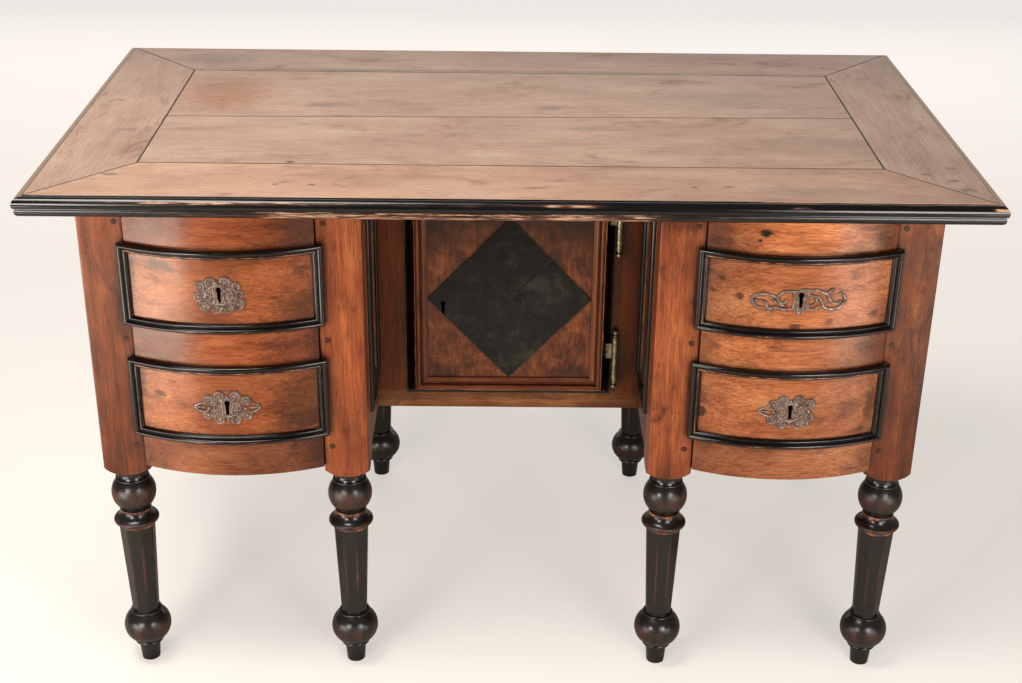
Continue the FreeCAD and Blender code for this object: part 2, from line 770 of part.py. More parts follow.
def bowed_lip(name, x, z):
    """Mitred lip round a drawer face: level strips turned on the bow, upright strips square to it."""
    width = s["lip_width"]
    half_height = s["drawer_height"] / 2 + s["lip_lap"]
    middle = arc_angle(opening_half + s["lip_lap"] - width / 2, face_radius)
    outline = section(lip_section, width, s["lip_thickness"])
    half = width / 2
    far = width * 4
    strips = []
    for up in (1, -1):
        body = new_body(f"{name}_level")
        across = shifted(swapped(mirrored(outline)), face_radius, half_height)
        if up < 0:
            across = [(corner[0], -corner[1], *[-item for item in corner[2:]]) for corner in across]
        revolve(body, "Revolution", across, angle=(middle + s["mitre_waste"]) * 2)
        for way in (1, -1):
            end = [((half + waste) * way, (half_height + waste) * up),
                   ((-half - waste) * way, (half_height - width - waste) * up),
                   (far * way, (half_height - width - waste) * up), (far * way, (half_height + waste) * up)]
            pierce(body, "YZ_Plane", [end], turn=middle * way)
        body.Placement.Rotation = FreeCAD.Rotation(FreeCAD.Vector(0, 0, 1), -90)
        strips.append(move(body, x, bow_centre, z))
    for way in (1, -1):
        body = new_body(f"{name}_upright")
        across = shifted(swapped(mirrored(outline)), face_radius, half)
        if way < 0:
            across = [(corner[0], -corner[1], *[-item for item in corner[2:]]) for corner in across]
        pad(body, "XY_Plane", across, half_height * 2, both_ways=True)
        ends = []
        for up in (1, -1):
            ends.append([((half + waste) * way, (half_height + waste) * up),
                         ((-half - waste) * way, (half_height - width - waste) * up),
                         ((-half - waste) * way, (half_height + waste) * up)])
        pierce(body, "YZ_Plane", ends)
        body.Placement.Rotation = FreeCAD.Rotation(FreeCAD.Vector(0, 0, 1), middle.value * way - 90)
        body.setExpression("Placement.Rotation.Angle", (middle * way - 90).text)
        strips.append(move(body, x, bow_centre, z))
    return group(f"{name}_lip_set", strips)


def make_drawer(name, x, z):
    low = z + s["running_gap"]
    high = z + s["drawer_height"] - s["drawer_top_gap"]
    half = opening_half - s["drawer_side_gap"]
    inside = post_front - s["bow_lead"] + s["drawer_front_thickness"]
    back = back_wall - s["drawer_back_gap"]
    key_z = z + s["drawer_height"] / 2 - s["key_drop"]
    front = prism(f"{name}_front", bow_plan(x, half, inside, face_radius), low, high)
    pierce(front, "XZ_Plane", [keyhole(x, key_z - low)])
    node(f"{name}_drawer_front", front)

    side_top = low + s["drawer_side_height"]
    clear = half - s["drawer_side_thickness"]
    floor_low = low + s["drawer_bottom_lift"]
    floor_high = floor_low + s["drawer_bottom_thickness"]
    boards = [board(f"{name}_side", (x + clear * way, inside, low), (x + half * way, back, side_top))
              for way in (1, -1)]
    boards.append(board(f"{name}_floor", (x - clear, inside, floor_low), (x + clear, back, floor_high)))
    boards.append(board(f"{name}_back", (x - clear, back - s["drawer_side_thickness"], floor_high),
                        (x + clear, back, side_top)))
    node(f"{name}_drawer_box", group(f"{name}_boards", boards))

    node(f"{name}_drawer_lip", bowed_lip(f"{name}_lip", x, z + s["drawer_height"] / 2))
    node(f"{name}_escutcheon", bent_plate(f"{name}_plate", plates[name], x, key_z))
    lock = board(f"{name}_lock_case",
                 (x - s["lock_width"] / 2, inside, key_z - s["lock_height"] / 2),
                 (x + s["lock_width"] / 2, inside + s["lock_thickness"], key_z + s["lock_height"] / 2))
    node(f"{name}_drawer_lock", lock)


def make_drawers():
    for name, side in sides.items():
        for level, z in (("upper", upper_drawer_z), ("lower", lower_drawer_z)):
            make_drawer(f"{name}_{level}", pedestal_x * side, z)


# Shared places of the cupboard and its door
door_half = inner_x - s["door_margin"]
door_width = door_half * 2
door_low = case_low + s["door_sill"]
door_high = case_top - s["door_head"]
door_height = door_high - door_low
door_z = (door_low + door_high) / 2
lip_back = face_y - s["face_gap"]
door_face = lip_back - s["door_step"]
hinge_x = door_half + s["hinge_offset"]
hinge_y = face_y - s["hinge_stand"]
hinge_feet = {"lower": door_low + s["hinge_foot"], "upper": door_high - s["hinge_length"]}
leaf_lift = s["hinge_finial"] + (s["hinge_lower_knuckle"] - s["leaf_height"]) / 2
door_leaf_lift = s["hinge_finial"] + s["hinge_lower_knuckle"] + s["hinge_play"] + s["leaf_height"] / 2


def frame_leaf(name, foot):
    """Hinge leaf that runs back into the cupboard's stile."""
    half = s["leaf_thickness"] / 2
    return board(name, (hinge_x - half, hinge_y, foot + leaf_lift),
                 (hinge_x + half, face_y + s["leaf_depth"], foot + leaf_lift + s["leaf_height"]))


def door_leaf(name, foot):
    """Hinge leaf that runs sideways into the door's lip."""
    half = s["leaf_thickness"] / 2
    return board(name, (hinge_x, hinge_y - half, foot + door_leaf_lift),
                 (hinge_x - s["door_leaf_reach"], hinge_y + half, foot + door_leaf_lift + s["leaf_height"]))


def finial(radius):
    """Ball finial below a knuckle, from its tip up to the knuckle's shoulder."""
    length = s["hinge_finial"]
    return [(radius * 0.45, 0, -radius * 0.5), (radius * 0.45, length * 0.65),
            (radius * 0.65, length * 0.72), (radius * 0.65, length * 0.86)]


def make_hinges():
    radius = s["hinge_diameter"] / 2
    pin = s["hinge_pin"] / 2
    bore = pin + s["hinge_pin_clearance"]
    split = s["hinge_finial"] + s["hinge_lower_knuckle"]
    upper_low = split + s["hinge_play"]
    pin_top = split + s["hinge_pin_length"]
    top = s["hinge_length"]
    shoulder = top - s["hinge_finial"]
    frame_side = []
    door_side = []
    for name, foot in hinge_feet.items():
        lower = new_body(f"{name}_frame_knuckle")
        ball = finial(radius)
        barrel = [(radius, s["hinge_finial"]), (radius, split), (pin, split), (pin, pin_top), (0, pin_top)]
        revolve(lower, "Revolution", [(0, 0)] + ball + barrel)
        move(lower, hinge_x, hinge_y, foot)
        frame_side.append(fused(f"{name}_frame_hinge", [lower, frame_leaf(f"{name}_frame_leaf", foot)]))

        upper = new_body(f"{name}_door_knuckle")
        over = [(corner[0], top - corner[1]) for corner in reversed(ball)]
        over[2] = (*over[2], -radius * 0.5)
        revolve(upper, "Revolution", [(bore, upper_low), (radius, upper_low), (radius, shoulder)] + over
                + [(0, top), (0, pin_top + s["hinge_play"]), (bore, pin_top + s["hinge_play"])])
        move(upper, hinge_x, hinge_y, foot)
        leaf = cut(f"{name}_door_leaf_bored", door_leaf(f"{name}_door_leaf", foot),
                   [hinge_bore(f"{name}_leaf_bore", bore, foot + upper_low, top - upper_low)])
        door_side.append(fused(f"{name}_door_hinge", [upper, leaf]))
    node("hinge_frame_leaves", group("frame_hinges", frame_side))
    node("hinge_door_leaves", group("door_hinges", door_side))


def hinge_bore(name, radius, z, length):
    piece = doc.addObject("Part::Cylinder", name)
    piece.setExpression("Radius", radius.text)
    piece.setExpression("Height", length.text)
    return move(piece, hinge_x, hinge_y, z)


def make_cupboard():
    back = face_y + s["frame_thickness"]
    opening = door_half - s["door_lap"]
    sill = door_low + s["door_lap"]
    head = door_high - s["door_lap"]
    left = board("left_stile", (-inner_x, face_y, case_low), (-opening, back, case_top))
    right = board("right_stile_blank", (inner_x, face_y, case_low), (opening, back, case_top))
    slots = [frame_leaf(f"{name}_stile_slot", foot) for name, foot in hinge_feet.items()]
    right = cut("right_stile", right, slots)
    low_rail = board("cupboard_sill", (-opening, face_y, case_low), (opening, back, sill))
    high_rail = board("cupboard_head", (-opening, face_y, head), (opening, back, case_top))
    node("cupboard_face_frame", group("face_frame", [left, right, low_rail, high_rail]))
    node("cupboard_bottom", board("cupboard_floor", (-inner_x, back, case_low),
                                  (inner_x, back_wall, case_low + s["floor_thickness"])))


def make_door():
    half = door_half - s["door_lap"] - s["door_gap"]
    low = door_low + s["door_lap"] + s["door_gap"]
    high = door_high - s["door_lap"] - s["door_gap"]
    back = door_face + s["door_thickness"]
    key_x = -door_half + s["door_key_inset"]
    key_z = door_z - s["door_key_drop"]
    panel = plate("door_panel", [(-half, low), (half, low), (half, high), (-half, high)], back, door_face)
    pierce(panel, "XZ_Plane", [keyhole(key_x, key_z)])
    node("door_board", panel)

    rebate = s["door_lap"] + s["door_gap"]
    lip = section(cove_section, s["door_lip_width"], s["door_lip_thickness"])
    lip += [(s["door_lip_width"], s["door_step"]), (rebate, s["door_step"]), (rebate, as_size(0))]
    strips = mitred_frame("door_lip", (as_size(0), lip_back, door_z), (1, 0, 0), (0, 0, 1),
                          door_width, door_height, s["door_lip_width"], lip)
    slots = [door_leaf(f"{name}_lip_slot", foot) for name, foot in hinge_feet.items()]
    strips[1] = cut("door_lip_slotted", strips[1], slots)
    node("door_lip_moulding", group("door_lips", strips))

    inset = s["door_lip_width"] * 2
    bead = section(inner_section, s["inner_bead_width"], s["inner_bead_thickness"])
    strips = mitred_frame("door_bead", (as_size(0), door_face, door_z), (1, 0, 0), (0, 0, 1),
                          door_width - inset, door_height - inset, s["inner_bead_width"], bead)
    node("door_inner_moulding", group("door_beads", strips))

    field = s["door_lip_width"] + s["inner_bead_width"] + s["lozenge_margin"]
    wide = door_half - field
    tall = door_height / 2 - field
    gap = s["lozenge_gap"]
    tiles = []
    for x, z in ((0, 1), (1, 0), (0, -1), (-1, 0)):
        middle_x = wide / 2 * x
        middle_z = door_z + tall / 2 * z
        tile = [(middle_x - wide / 2 + gap, middle_z), (middle_x, middle_z - tall / 2 + gap),
                (middle_x + wide / 2 - gap, middle_z), (middle_x, middle_z + tall / 2 - gap)]
        tile_body = plate("lozenge_tile", tile, door_face, door_face - s["lozenge_thickness"])
        if x < 0:
            pierce(tile_body, "XZ_Plane", [keyhole(key_x, key_z)])
        tiles.append(tile_body)
    node("door_lozenge", group("lozenge", tiles))

    lock = board("door_lock_case", (key_x - s["lock_width"] / 2, back, key_z - s["lock_height"] / 2),
                 (key_x + s["lock_width"] / 2, back + s["lock_thickness"], key_z + s["lock_height"] / 2))
    node("door_lock", lock)


make_top()
make_posts()
make_legs()
make_rails()
make_panels()
make_runners()
make_drawers()
make_hinges()
make_cupboard()
make_door()
doc.recompute()

# Every object has to be sound before anything is written
for piece in doc.Objects:
    if "Invalid" in piece.State or "Error" in piece.State:
        raise RuntimeError(f"{piece.Label} failed: {piece.State}")
for label, piece in nodes.items():
    if piece.Shape.isNull() or not piece.Shape.isValid() or not piece.Shape.Solids:
        raise RuntimeError(f"{label} has no sound solid")

os.makedirs("parts", exist_ok=True)
for label, piece in nodes.items():
    piece.Shape.exportStep(f"parts/{label}.step")
print(f"{len(nodes)} pieces written")
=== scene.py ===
import math

import bmesh
import bpy
import numpy as np
from mathutils import Matrix


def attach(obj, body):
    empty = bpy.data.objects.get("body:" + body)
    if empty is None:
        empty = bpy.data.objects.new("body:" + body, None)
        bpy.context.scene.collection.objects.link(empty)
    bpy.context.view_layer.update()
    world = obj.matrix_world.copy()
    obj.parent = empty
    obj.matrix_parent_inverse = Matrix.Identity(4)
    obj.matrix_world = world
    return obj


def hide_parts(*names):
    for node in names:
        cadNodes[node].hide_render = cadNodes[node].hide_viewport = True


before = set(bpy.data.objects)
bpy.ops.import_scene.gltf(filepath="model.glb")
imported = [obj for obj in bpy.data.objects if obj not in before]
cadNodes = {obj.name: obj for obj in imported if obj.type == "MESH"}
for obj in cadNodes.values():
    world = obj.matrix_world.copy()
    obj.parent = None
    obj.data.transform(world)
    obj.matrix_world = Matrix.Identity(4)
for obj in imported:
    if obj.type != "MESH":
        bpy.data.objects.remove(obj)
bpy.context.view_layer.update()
scene = bpy.context.scene
mm = 0.001
sides = {"left": -1, "right": 1}
levels = ("upper", "lower")
print("frame loaded:", len(cadNodes), "nodes")


def linear(hexCode):
    # sRGB hex to linear light
    parts = np.array([int(hexCode[k:k + 2], 16) for k in (1, 3, 5)]) / 255
    light = np.where(parts <= 0.04045, parts / 12.92, ((parts + 0.055) / 1.055) ** 2.4)
    return (*light.tolist(), 1.0)


def newMaterial(name):
    # begins a material, and put adds its nodes from here on
    global tree
    material = bpy.data.materials.new(name)
    material.use_nodes = True
    tree = material.node_tree
    tree.nodes.clear()
    return material


def put(kind, links=None, stops=None, **settings):
    # adds one shader node: settings are its properties, links its inputs (a socket is joined, a value is set)
    node = tree.nodes.new("ShaderNode" + kind)
    for key, value in settings.items():
        setattr(node, key, value)
    for key, value in (links or {}).items():
        if isinstance(value, bpy.types.NodeSocket):
            tree.links.new(value, node.inputs[key])
        else:
            node.inputs[key].default_value = value
    if stops:
        ramp = node.color_ramp.elements
        while len(ramp) < len(stops):
            ramp.new(0.5)
        for element, (place, colour) in zip(ramp, stops):
            element.position = place
            element.color = linear(colour)
    return node


def sums(operation, *values):
    # one step of arithmetic on sockets and numbers
    return put("Math", dict(enumerate(values)), operation=operation).outputs["Value"]


def ranged(value, start, end, low=0.0, high=1.0, **settings):
    # start to end becomes low to high, and holds beyond them
    span = {"Value": value, "From Min": start, "From Max": end, "To Min": low, "To Max": high}
    return put("MapRange", span, **settings).outputs["Result"]


def layered(colour, layers, blend="MIX"):
    # lays each colour over what is under it, where its mask says
    for mask, hexCode in layers:
        colour = put("Mix", {0: mask, 6: colour, 7: linear(hexCode)},
                     data_type="RGBA", blend_type=blend).outputs[2]
    return colour


def hollows(reach):
    # 1 in the open, less in corners, within a reach in mm
    return put("AmbientOcclusion", {"Distance": reach * mm}, samples=6).outputs["AO"]


def close(inputs):
    shader = put("BsdfPrincipled", inputs)
    put("OutputMaterial", {"Surface": shader.outputs["BSDF"]})


# woods
grainAxes = {"x": 0, "y": 1, "z": 2}
# noise lies mostly between these
usual = (0.3, 0.7)
# how far each board starts from the last in the noise and in the spots
seedStep, spotStep = (3.7, 7.3, 5.1), 2.3


def streaks(where, look, size, detail=4.0, rough=0.6, twist=0.0):
    # noise drawn out along the grain; size is (along, across) in mm, and each board starts elsewhere in the pattern
    scale = [1 / (size[1] * mm)] * 3
    scale[grainAxes[look["grain"]]] = 1 / (size[0] * mm)
    start = look.get("seed", 0)
    place = put("Mapping", {
        "Vector": where, "Location": [start * step for step in seedStep], "Scale": scale})
    return put("TexNoise", {
        "Vector": place.outputs["Vector"], "Scale": 1.0, "Detail": detail, "Roughness": rough,
        "Distortion": twist}).outputs["Fac"]


def fromLine(where, normal, point):
    # distance of each place from a line or plane through the point (mm), square to its unit normal
    far = put("VectorMath", {0: where, 1: normal.tolist()}, operation="DOT_PRODUCT").outputs["Value"]
    return sums("ABSOLUTE", sums("SUBTRACT", far, float(normal @ point) * mm))


# where each layer starts and ends in its noise, and how ragged the dirt, the painted shade in corners and the marks are
# (mm, or shares of the noise)
board = dict(
    fine=(0.60, 0.36), pore=(0.60, 0.70), stainSoft=0.16, handSpread=160, seam=(3.8, 2.4), seamRagged=4, seamDepth=0.95,
    nick=(16, 5), nickShare=1.6, stainShare=2.0, small=26, crisp=(2.35, 0.2), blurred=(2.55, 0.35), spot=(0.4, 0.8),
    grime=(0.58, -0.05), grimeAndShadeRagged=-0.7, relief=0.25)


def oldWood(name, look):
    # Planed and waxed boards: soft figure, fine lines and short dark pores, darkened by stains, hands and dust, and by
    # painted shade in corners, towards the posts and along some fades
    material = newMaterial(name)
    if look.get("attribute"):
        where = put("Attribute", attribute_name="grain").outputs["Vector"]
    else:
        where = put("TexCoord").outputs["Object"]
    places = put("SeparateXYZ", {"Vector": where}).outputs
    if "railTop" in look:
        # below this level the grain runs across
        low = sums("LESS_THAN", places["Z"], look["railTop"] * mm)
        across = put("CombineXYZ", {"X": places["Z"], "Y": places["Y"], "Z": places["X"]}).outputs["Vector"]
        where = put("Mix", {0: low, 4: where, 5: across}, data_type="VECTOR").outputs[1]
    figure = streaks(where, look, look["figure"], detail=6.0, twist=look["twist"])
    cloud = streaks(where, look, look["cloud"], detail=6.0, rough=0.66)
    both = put("Mix", {0: look["cloudShare"], 2: figure, 3: cloud}, data_type="FLOAT").outputs[0]
    colour = put("ValToRGB", {"Fac": both}, stops=look["tones"]).outputs["Color"]
    fine = streaks(where, look, look["fine"])
    # walnut pores are about 0.3 mm wide, drawn wider here so that they show at this distance
    pore = streaks(where, look, look["pore"], detail=2.0)
    stain = streaks(where, look, look["stain"], detail=7.0, rough=0.7, twist=0.8)
    # every layer darkens what lies under it, so that the grain still shows: its value, range, depth and colour
    start = look["stainFrom"]
    layers = [(fine, *board["fine"], 1.0, look["fineDark"]),
              (pore, *board["pore"], look["poreDepth"], look["poreColour"]),
              (stain, start, start + board["stainSoft"], look["stainDepth"], look["stainColour"])]
    for axis, start, end, hexCode in look["fades"]:
        layers.append((places[axis], start * mm, end * mm, 1.0, hexCode))
    if "ends" in look:
        # hands, dust and painted shade darken the bowed boards towards the posts, further out where the stain is weak
        near, far, depth = look["ends"]
        out = sums("SUBTRACT", sums("ABSOLUTE", places["X"]), bow["x"] * mm)
        out = sums("MULTIPLY_ADD", stain, board["handSpread"] * mm, sums("ABSOLUTE", out))
        near, far = ((reach + board["handSpread"] / 2) * mm for reach in (near, far))
        layers.append((out, near, far, depth, look["stainColour"]))
    for (x0, y0), (x1, y1) in look.get("seams", []):
        # dirt along the joints of the top
        normal = np.array([y0 - y1, x1 - x0, 0]) / math.hypot(x1 - x0, y1 - y0)
        far = fromLine(where, normal, (x0, y0, 0))
        far = sums("MULTIPLY_ADD", stain, board["seamRagged"] * mm, far)
        layers.append((far, *[reach * mm for reach in board["seam"]], board["seamDepth"], look["grimeColour"]))
    # marks are ragged along the grain, and the small ones have crisp edges
    nick = streaks(where, look, board["nick"], detail=3.0)
    ragged = sums("MULTIPLY_ADD", stain, board["stainShare"], sums("MULTIPLY", nick, board["nickShare"]))
    for place, size, hexCode, depth in look.get("marks", []):
        near = put("Mapping", {
            "Vector": where, "Location": [-p / s for p, s in zip(place, size)], "Scale": [1 / (s * mm) for s in size]})
        near = put("VectorMath", {0: near.outputs["Vector"]}, operation="LENGTH").outputs["Value"]
        edge, soft = board["crisp"] if sorted(size)[1] <= board["small"] else board["blurred"]
        layers.append((sums("ADD", ragged, near), edge + soft, edge - soft, depth, hexCode))
    # old nail holes and ink spots, a few to the board
    cell, radius, depth = look["spots"]
    spotPlace = put("Mapping", {
        "Vector": where, "Location": [look["seed"] * spotStep] * 3, "Scale": [1 / (v * mm) for v in cell]})
    spot = put("TexVoronoi", {"Vector": spotPlace.outputs["Vector"], "Scale": 1.0}).outputs
    keep = put("SeparateColor", {"Color": spot["Color"]}).outputs["Red"]
    size = sums("SUBTRACT", sums("MULTIPLY", keep, radius), spot["Distance"])
    layers.append((size, *[radius * share for share in board["spot"]], depth, look["poreColour"]))
    # grime and painted shade: darker in corners and where parts meet, within the look's reach, ragged by the stain
    corner = sums("MULTIPLY_ADD", stain, board["grimeAndShadeRagged"], hollows(look["grimeReach"]))
    layers.append((corner, *board["grime"], look["grime"], look["grimeColour"]))
    masks = [(ranged(value, start, end, high=depth), hexCode) for value, start, end, depth, hexCode in layers]
    relief = sums("SUBTRACT", fine, pore)
    bump = put("Bump", {"Height": relief, "Strength": look["bump"], "Distance": board["relief"] * mm})
    close({
        "Base Color": layered(colour, masks, blend="MULTIPLY"), "Normal": bump.outputs["Normal"], "IOR": 1.5,
        "Roughness": ranged(stain, *usual, *look["rough"]), "Specular Tint": linear(look["shine"])})
    return material


def fourTones(*codes):
    # stops of the figure from dark to pale
    return list(zip((0.34, 0.46, 0.55, 0.67), codes))


bow = dict(x=390, opening=127, rise=27, front=-321.5, proud=0.4)
bow["radius"] = (bow["opening"] ** 2 + bow["rise"] ** 2) / (2 * bow["rise"])
bow["centre"] = bow["front"] + bow["radius"]
bow["face"] = bow["radius"] + bow["proud"]

# figure, cloud, fine, pore and stain: size of the noise along and across the grain in mm; fades: axis, mm and colour
carcassLook = dict(
    name="waxedWalnut", tones=fourTones("#713618", "#934a25", "#a85a30", "#ba6f41"),
    figure=(300, 20), twist=0.7, cloud=(120, 60), cloudShare=0.5, fine=(45, 1.8), fineDark="#cdb4a6",
    pore=(14, 1.3), poreDepth=0.7, poreColour="#6b4a3a", stain=(80, 34), stainFrom=0.54, stainDepth=0.75,
    stainColour="#6a5044", grime=0.95, grimeReach=20, grimeColour="#3a2820", rough=(0.24, 0.4), bump=0.16,
    spots=((48, 48, 48), 0.07, 0.7), shine="#fff2e8",
    # darker towards the bottom, and darker towards the top as painted shadow under the desk's top
    fades=[("Z", 520, 345, "#e2dfdb"), ("Z", 620, 740, "#dfdad4")])
outerLook = dict(carcassLook, tones=fourTones("#532612", "#7d3f1f", "#934f28", "#a86338"),
                 fades=[("Z", 620, 340, "#d2c2ba")])
bowedLook = dict(carcassLook, ends=(75, 140, 0.5), rough=(0.2, 0.34), fades=[("Z", 540, 350, "#d8ccc6")])
# paler than the other fronts, and palest at its left end: a painted sheen
leftSheenLook = dict(bowedLook, ends=(95, 150, 0.45),
                tones=fourTones("#8e502c", "#b46a3c", "#c87c4c", "#d89467"),
                fades=bowedLook["fades"] + [("X", -475, -405, "#d6c8be")])
paleLook = dict(bowedLook, ends=(90, 145, 0.4),
                tones=fourTones("#99572f", "#bb7043", "#ce8252", "#da9866"))
topLook = dict(
    carcassLook, name="rubbedWalnut",
    tones=[(0.32, "#9d7b66"), (0.46, "#b28e78"), (0.56, "#bc9a84"), (0.70, "#c8a993")],
    figure=(320, 50), cloud=(170, 110), cloudShare=0.6, fine=(70, 1.5), fineDark="#e6dad0", pore=(12, 1.4),
    poreDepth=0.5, poreColour="#7a5f50", stain=(110, 46), stainFrom=0.56, stainDepth=0.6, stainColour="#a3958c",
    grime=0.98, grimeReach=3, grimeColour="#20140e", rough=(0.34, 0.5), bump=0.14,
    # the fades darken the top towards the back and towards the right: painted shade, as the light falls from the front
    # left
    spots=((70, 46, 70), 0.06, 0.85), shine="#ffffff", fades=[("Y", 40, 340, "#dcdcde"), ("X", 250, 640, "#eae8e8")])
# paler and more orange than the planks, and darker towards the right: partly its own tone, partly painted light falling
# from the front left
frontLook = dict(topLook, tones=fourTones("#a47a5e", "#bd9276", "#c99f84", "#d6b095"),
                 fades=[("X", -200, 640, "#dcd8d6")])
doorLook = dict(
    carcassLook, name="burrWalnut", tones=[(0.36, "#33190d"), (0.46, "#5c2d15"), (0.55, "#7c4322"), (0.66, "#9a5a30")],
    # the fade darkens the door towards its top: painted shade under the desk's top
    figure=(46, 34), twist=2.2, cloud=(60, 50), fine=(20, 4), stain=(40, 32), fades=[("Z", 580, 670, "#90857b")])
pineLook = dict(
    carcassLook, name="planedPine", tones=[(0.34, "#93693f"), (0.46, "#a97e50"), (0.55, "#b98f60"), (0.68, "#c49c6e")],
    figure=(600, 14), cloud=(300, 120), fineDark="#d8c8b4", poreColour="#a98a6a", stain=(240, 140), stainFrom=0.58,
    stainDepth=0.6, stainColour="#b09a86", grime=0.7, grimeColour="#6a5442", rough=(0.62, 0.78), bump=0.2, fades=[])
pegLook = dict(carcassLook, name="walnutPegs", tones=[(0.36, "#2e170c"), (0.64, "#5a331d")], fine=(4, 1.6))
# a darker copy of the walnut for the kneehole's side panels: painted shade
recessLook = dict(carcassLook, name="shadedWalnut", fades=[], shine="#ffe2cc",
                  tones=fourTones("#3a1a0b", "#582b11", "#6a3819", "#7e4925"))
# the rail under the door is paler than the stiles
frameLook = dict(recessLook, fades=[("Z", 384, 390, "#c8946a"), ("X", 120, 180, "#dad4be")], railTop=386,
                 tones=fourTones("#4e2a18", "#764729", "#8e5c38", "#a9764c"))

# which wood each CAD node is made from, and the way its grain runs
timber = {}
for label in ("back_border_board", "front_plank", "back_plank"):
    timber[label] = topLook, "x"
timber["front_border_board"] = frontLook, "x"
for side in sides:
    timber[f"{side}_end_board"] = topLook, "y"
    for end in ("front", "back"):
        timber[f"{side}_inner_{end}_post"] = carcassLook, "z"
        timber[f"{side}_outer_{end}_post"] = outerLook, "z"
    fronts = bowedLook if side == "left" else paleLook
    for rail in ("bottom", "middle", "top"):
        timber[f"{side}_{rail}_rail"] = bowedLook if rail == "bottom" else fronts, "x"
    for level in levels:
        timber[f"{side}_{level}_drawer_front"] = leftSheenLook if side == "left" else paleLook, "x"
        timber[f"{side}_{level}_drawer_box"] = pineLook, "y"
    timber[f"{side}_side_panels"] = recessLook, "z"
    timber[f"{side}_drawer_runners"] = pineLook, "y"
timber.update({"back_panels": (pineLook, "z"), "joint_pegs": (pegLook, "y"), "cupboard_face_frame": (frameLook, "z"),
               "cupboard_bottom": (pineLook, "x"), "door_board": (doorLook, "z")})
# boards that are paler or darker at one end than their neighbours
uneven = {
    "left_outer_front_post": dict(fades=outerLook["fades"] + [("Z", 660, 570, "#e6e0d8")]),
    "left_top_rail": dict(fades=bowedLook["fades"] + [("X", -400, -330, "#d6d2ce")]),
    "left_bottom_rail": dict(fades=[("X", -490, -300, "#beb2a8")],
                             tones=fourTones("#733f23", "#925434", "#a3633f", "#b0754f")),
    # paler tones: partly a painted sheen
    "right_top_rail": dict(ends=(30, 100, 0.8), fades=[("X", 360, 270, "#d2c6b8")],
                           tones=fourTones("#b66a3a", "#da8755", "#ea9b66", "#f4ae79")),
    "right_upper_drawer_front": dict(fades=paleLook["fades"] + [("X", 390, 275, "#cac8cc")]),
    "right_middle_rail": dict(fades=paleLook["fades"] + [("X", 400, 505, "#b8aea8")]),
    "right_lower_drawer_front": dict(fades=[("Z", 600, 400, "#d2ccca")]),
    # paler towards the right: a painted sheen
    "right_bottom_rail": dict(fades=[("X", 480, 290, "#cfc4be")],
                              tones=fourTones("#8a512c", "#a96943", "#bb7a52", "#c68b63")),
}
for label, change in uneven.items():
    look, grain = timber[label]
    timber[label] = dict(look, **change), grain
# marks seen on single boards of the top: x, y, their sizes, colour and depth
ink, smoke, rust = "#4a3a33", "#b4bcc0", "#e2b48a"
topMarks = {
    "back_plank": [(-435, 92, 85, 95, rust, 0.85), (-285, 45, 34, 14, smoke, 0.7), (60, 40, 36, 16, smoke, 0.6),
        (300, 90, 150, 50, smoke, 0.4)],
    "back_border_board": [(-60, 232, 520, 7, smoke, 0.8), (-480, 290, 80, 34, smoke, 0.7),
        (200, 330, 300, 40, smoke, 0.45)],
    "front_plank": [(-300, -50, 26, 9, smoke, 0.5), (-215, -72, 22, 9, smoke, 0.5), (120, -60, 60, 12, smoke, 0.5),
        (-300, -212, 9, 6, ink, 0.9)],
    "front_border_board": [(-535, -268, 22, 7, ink, 0.6), (-310, -300, 9, 4, ink, 0.8), (-262, -301, 8, 4, ink, 0.8),
        (240, -300, 11, 5, ink, 0.9), (285, -296, 12, 5, ink, 0.6), (400, -310, 110, 20, smoke, 0.5)],
    "left_end_board": [(-548, -80, 22, 14, smoke, 0.7), (-590, 60, 12, 6, ink, 0.5)],
    "right_end_board": [(560, -240, 16, 8, ink, 0.6), (590, -265, 15, 8, ink, 0.6), (600, -215, 16, 8, ink, 0.5),
        (600, -300, 24, 14, ink, 0.5)],
}
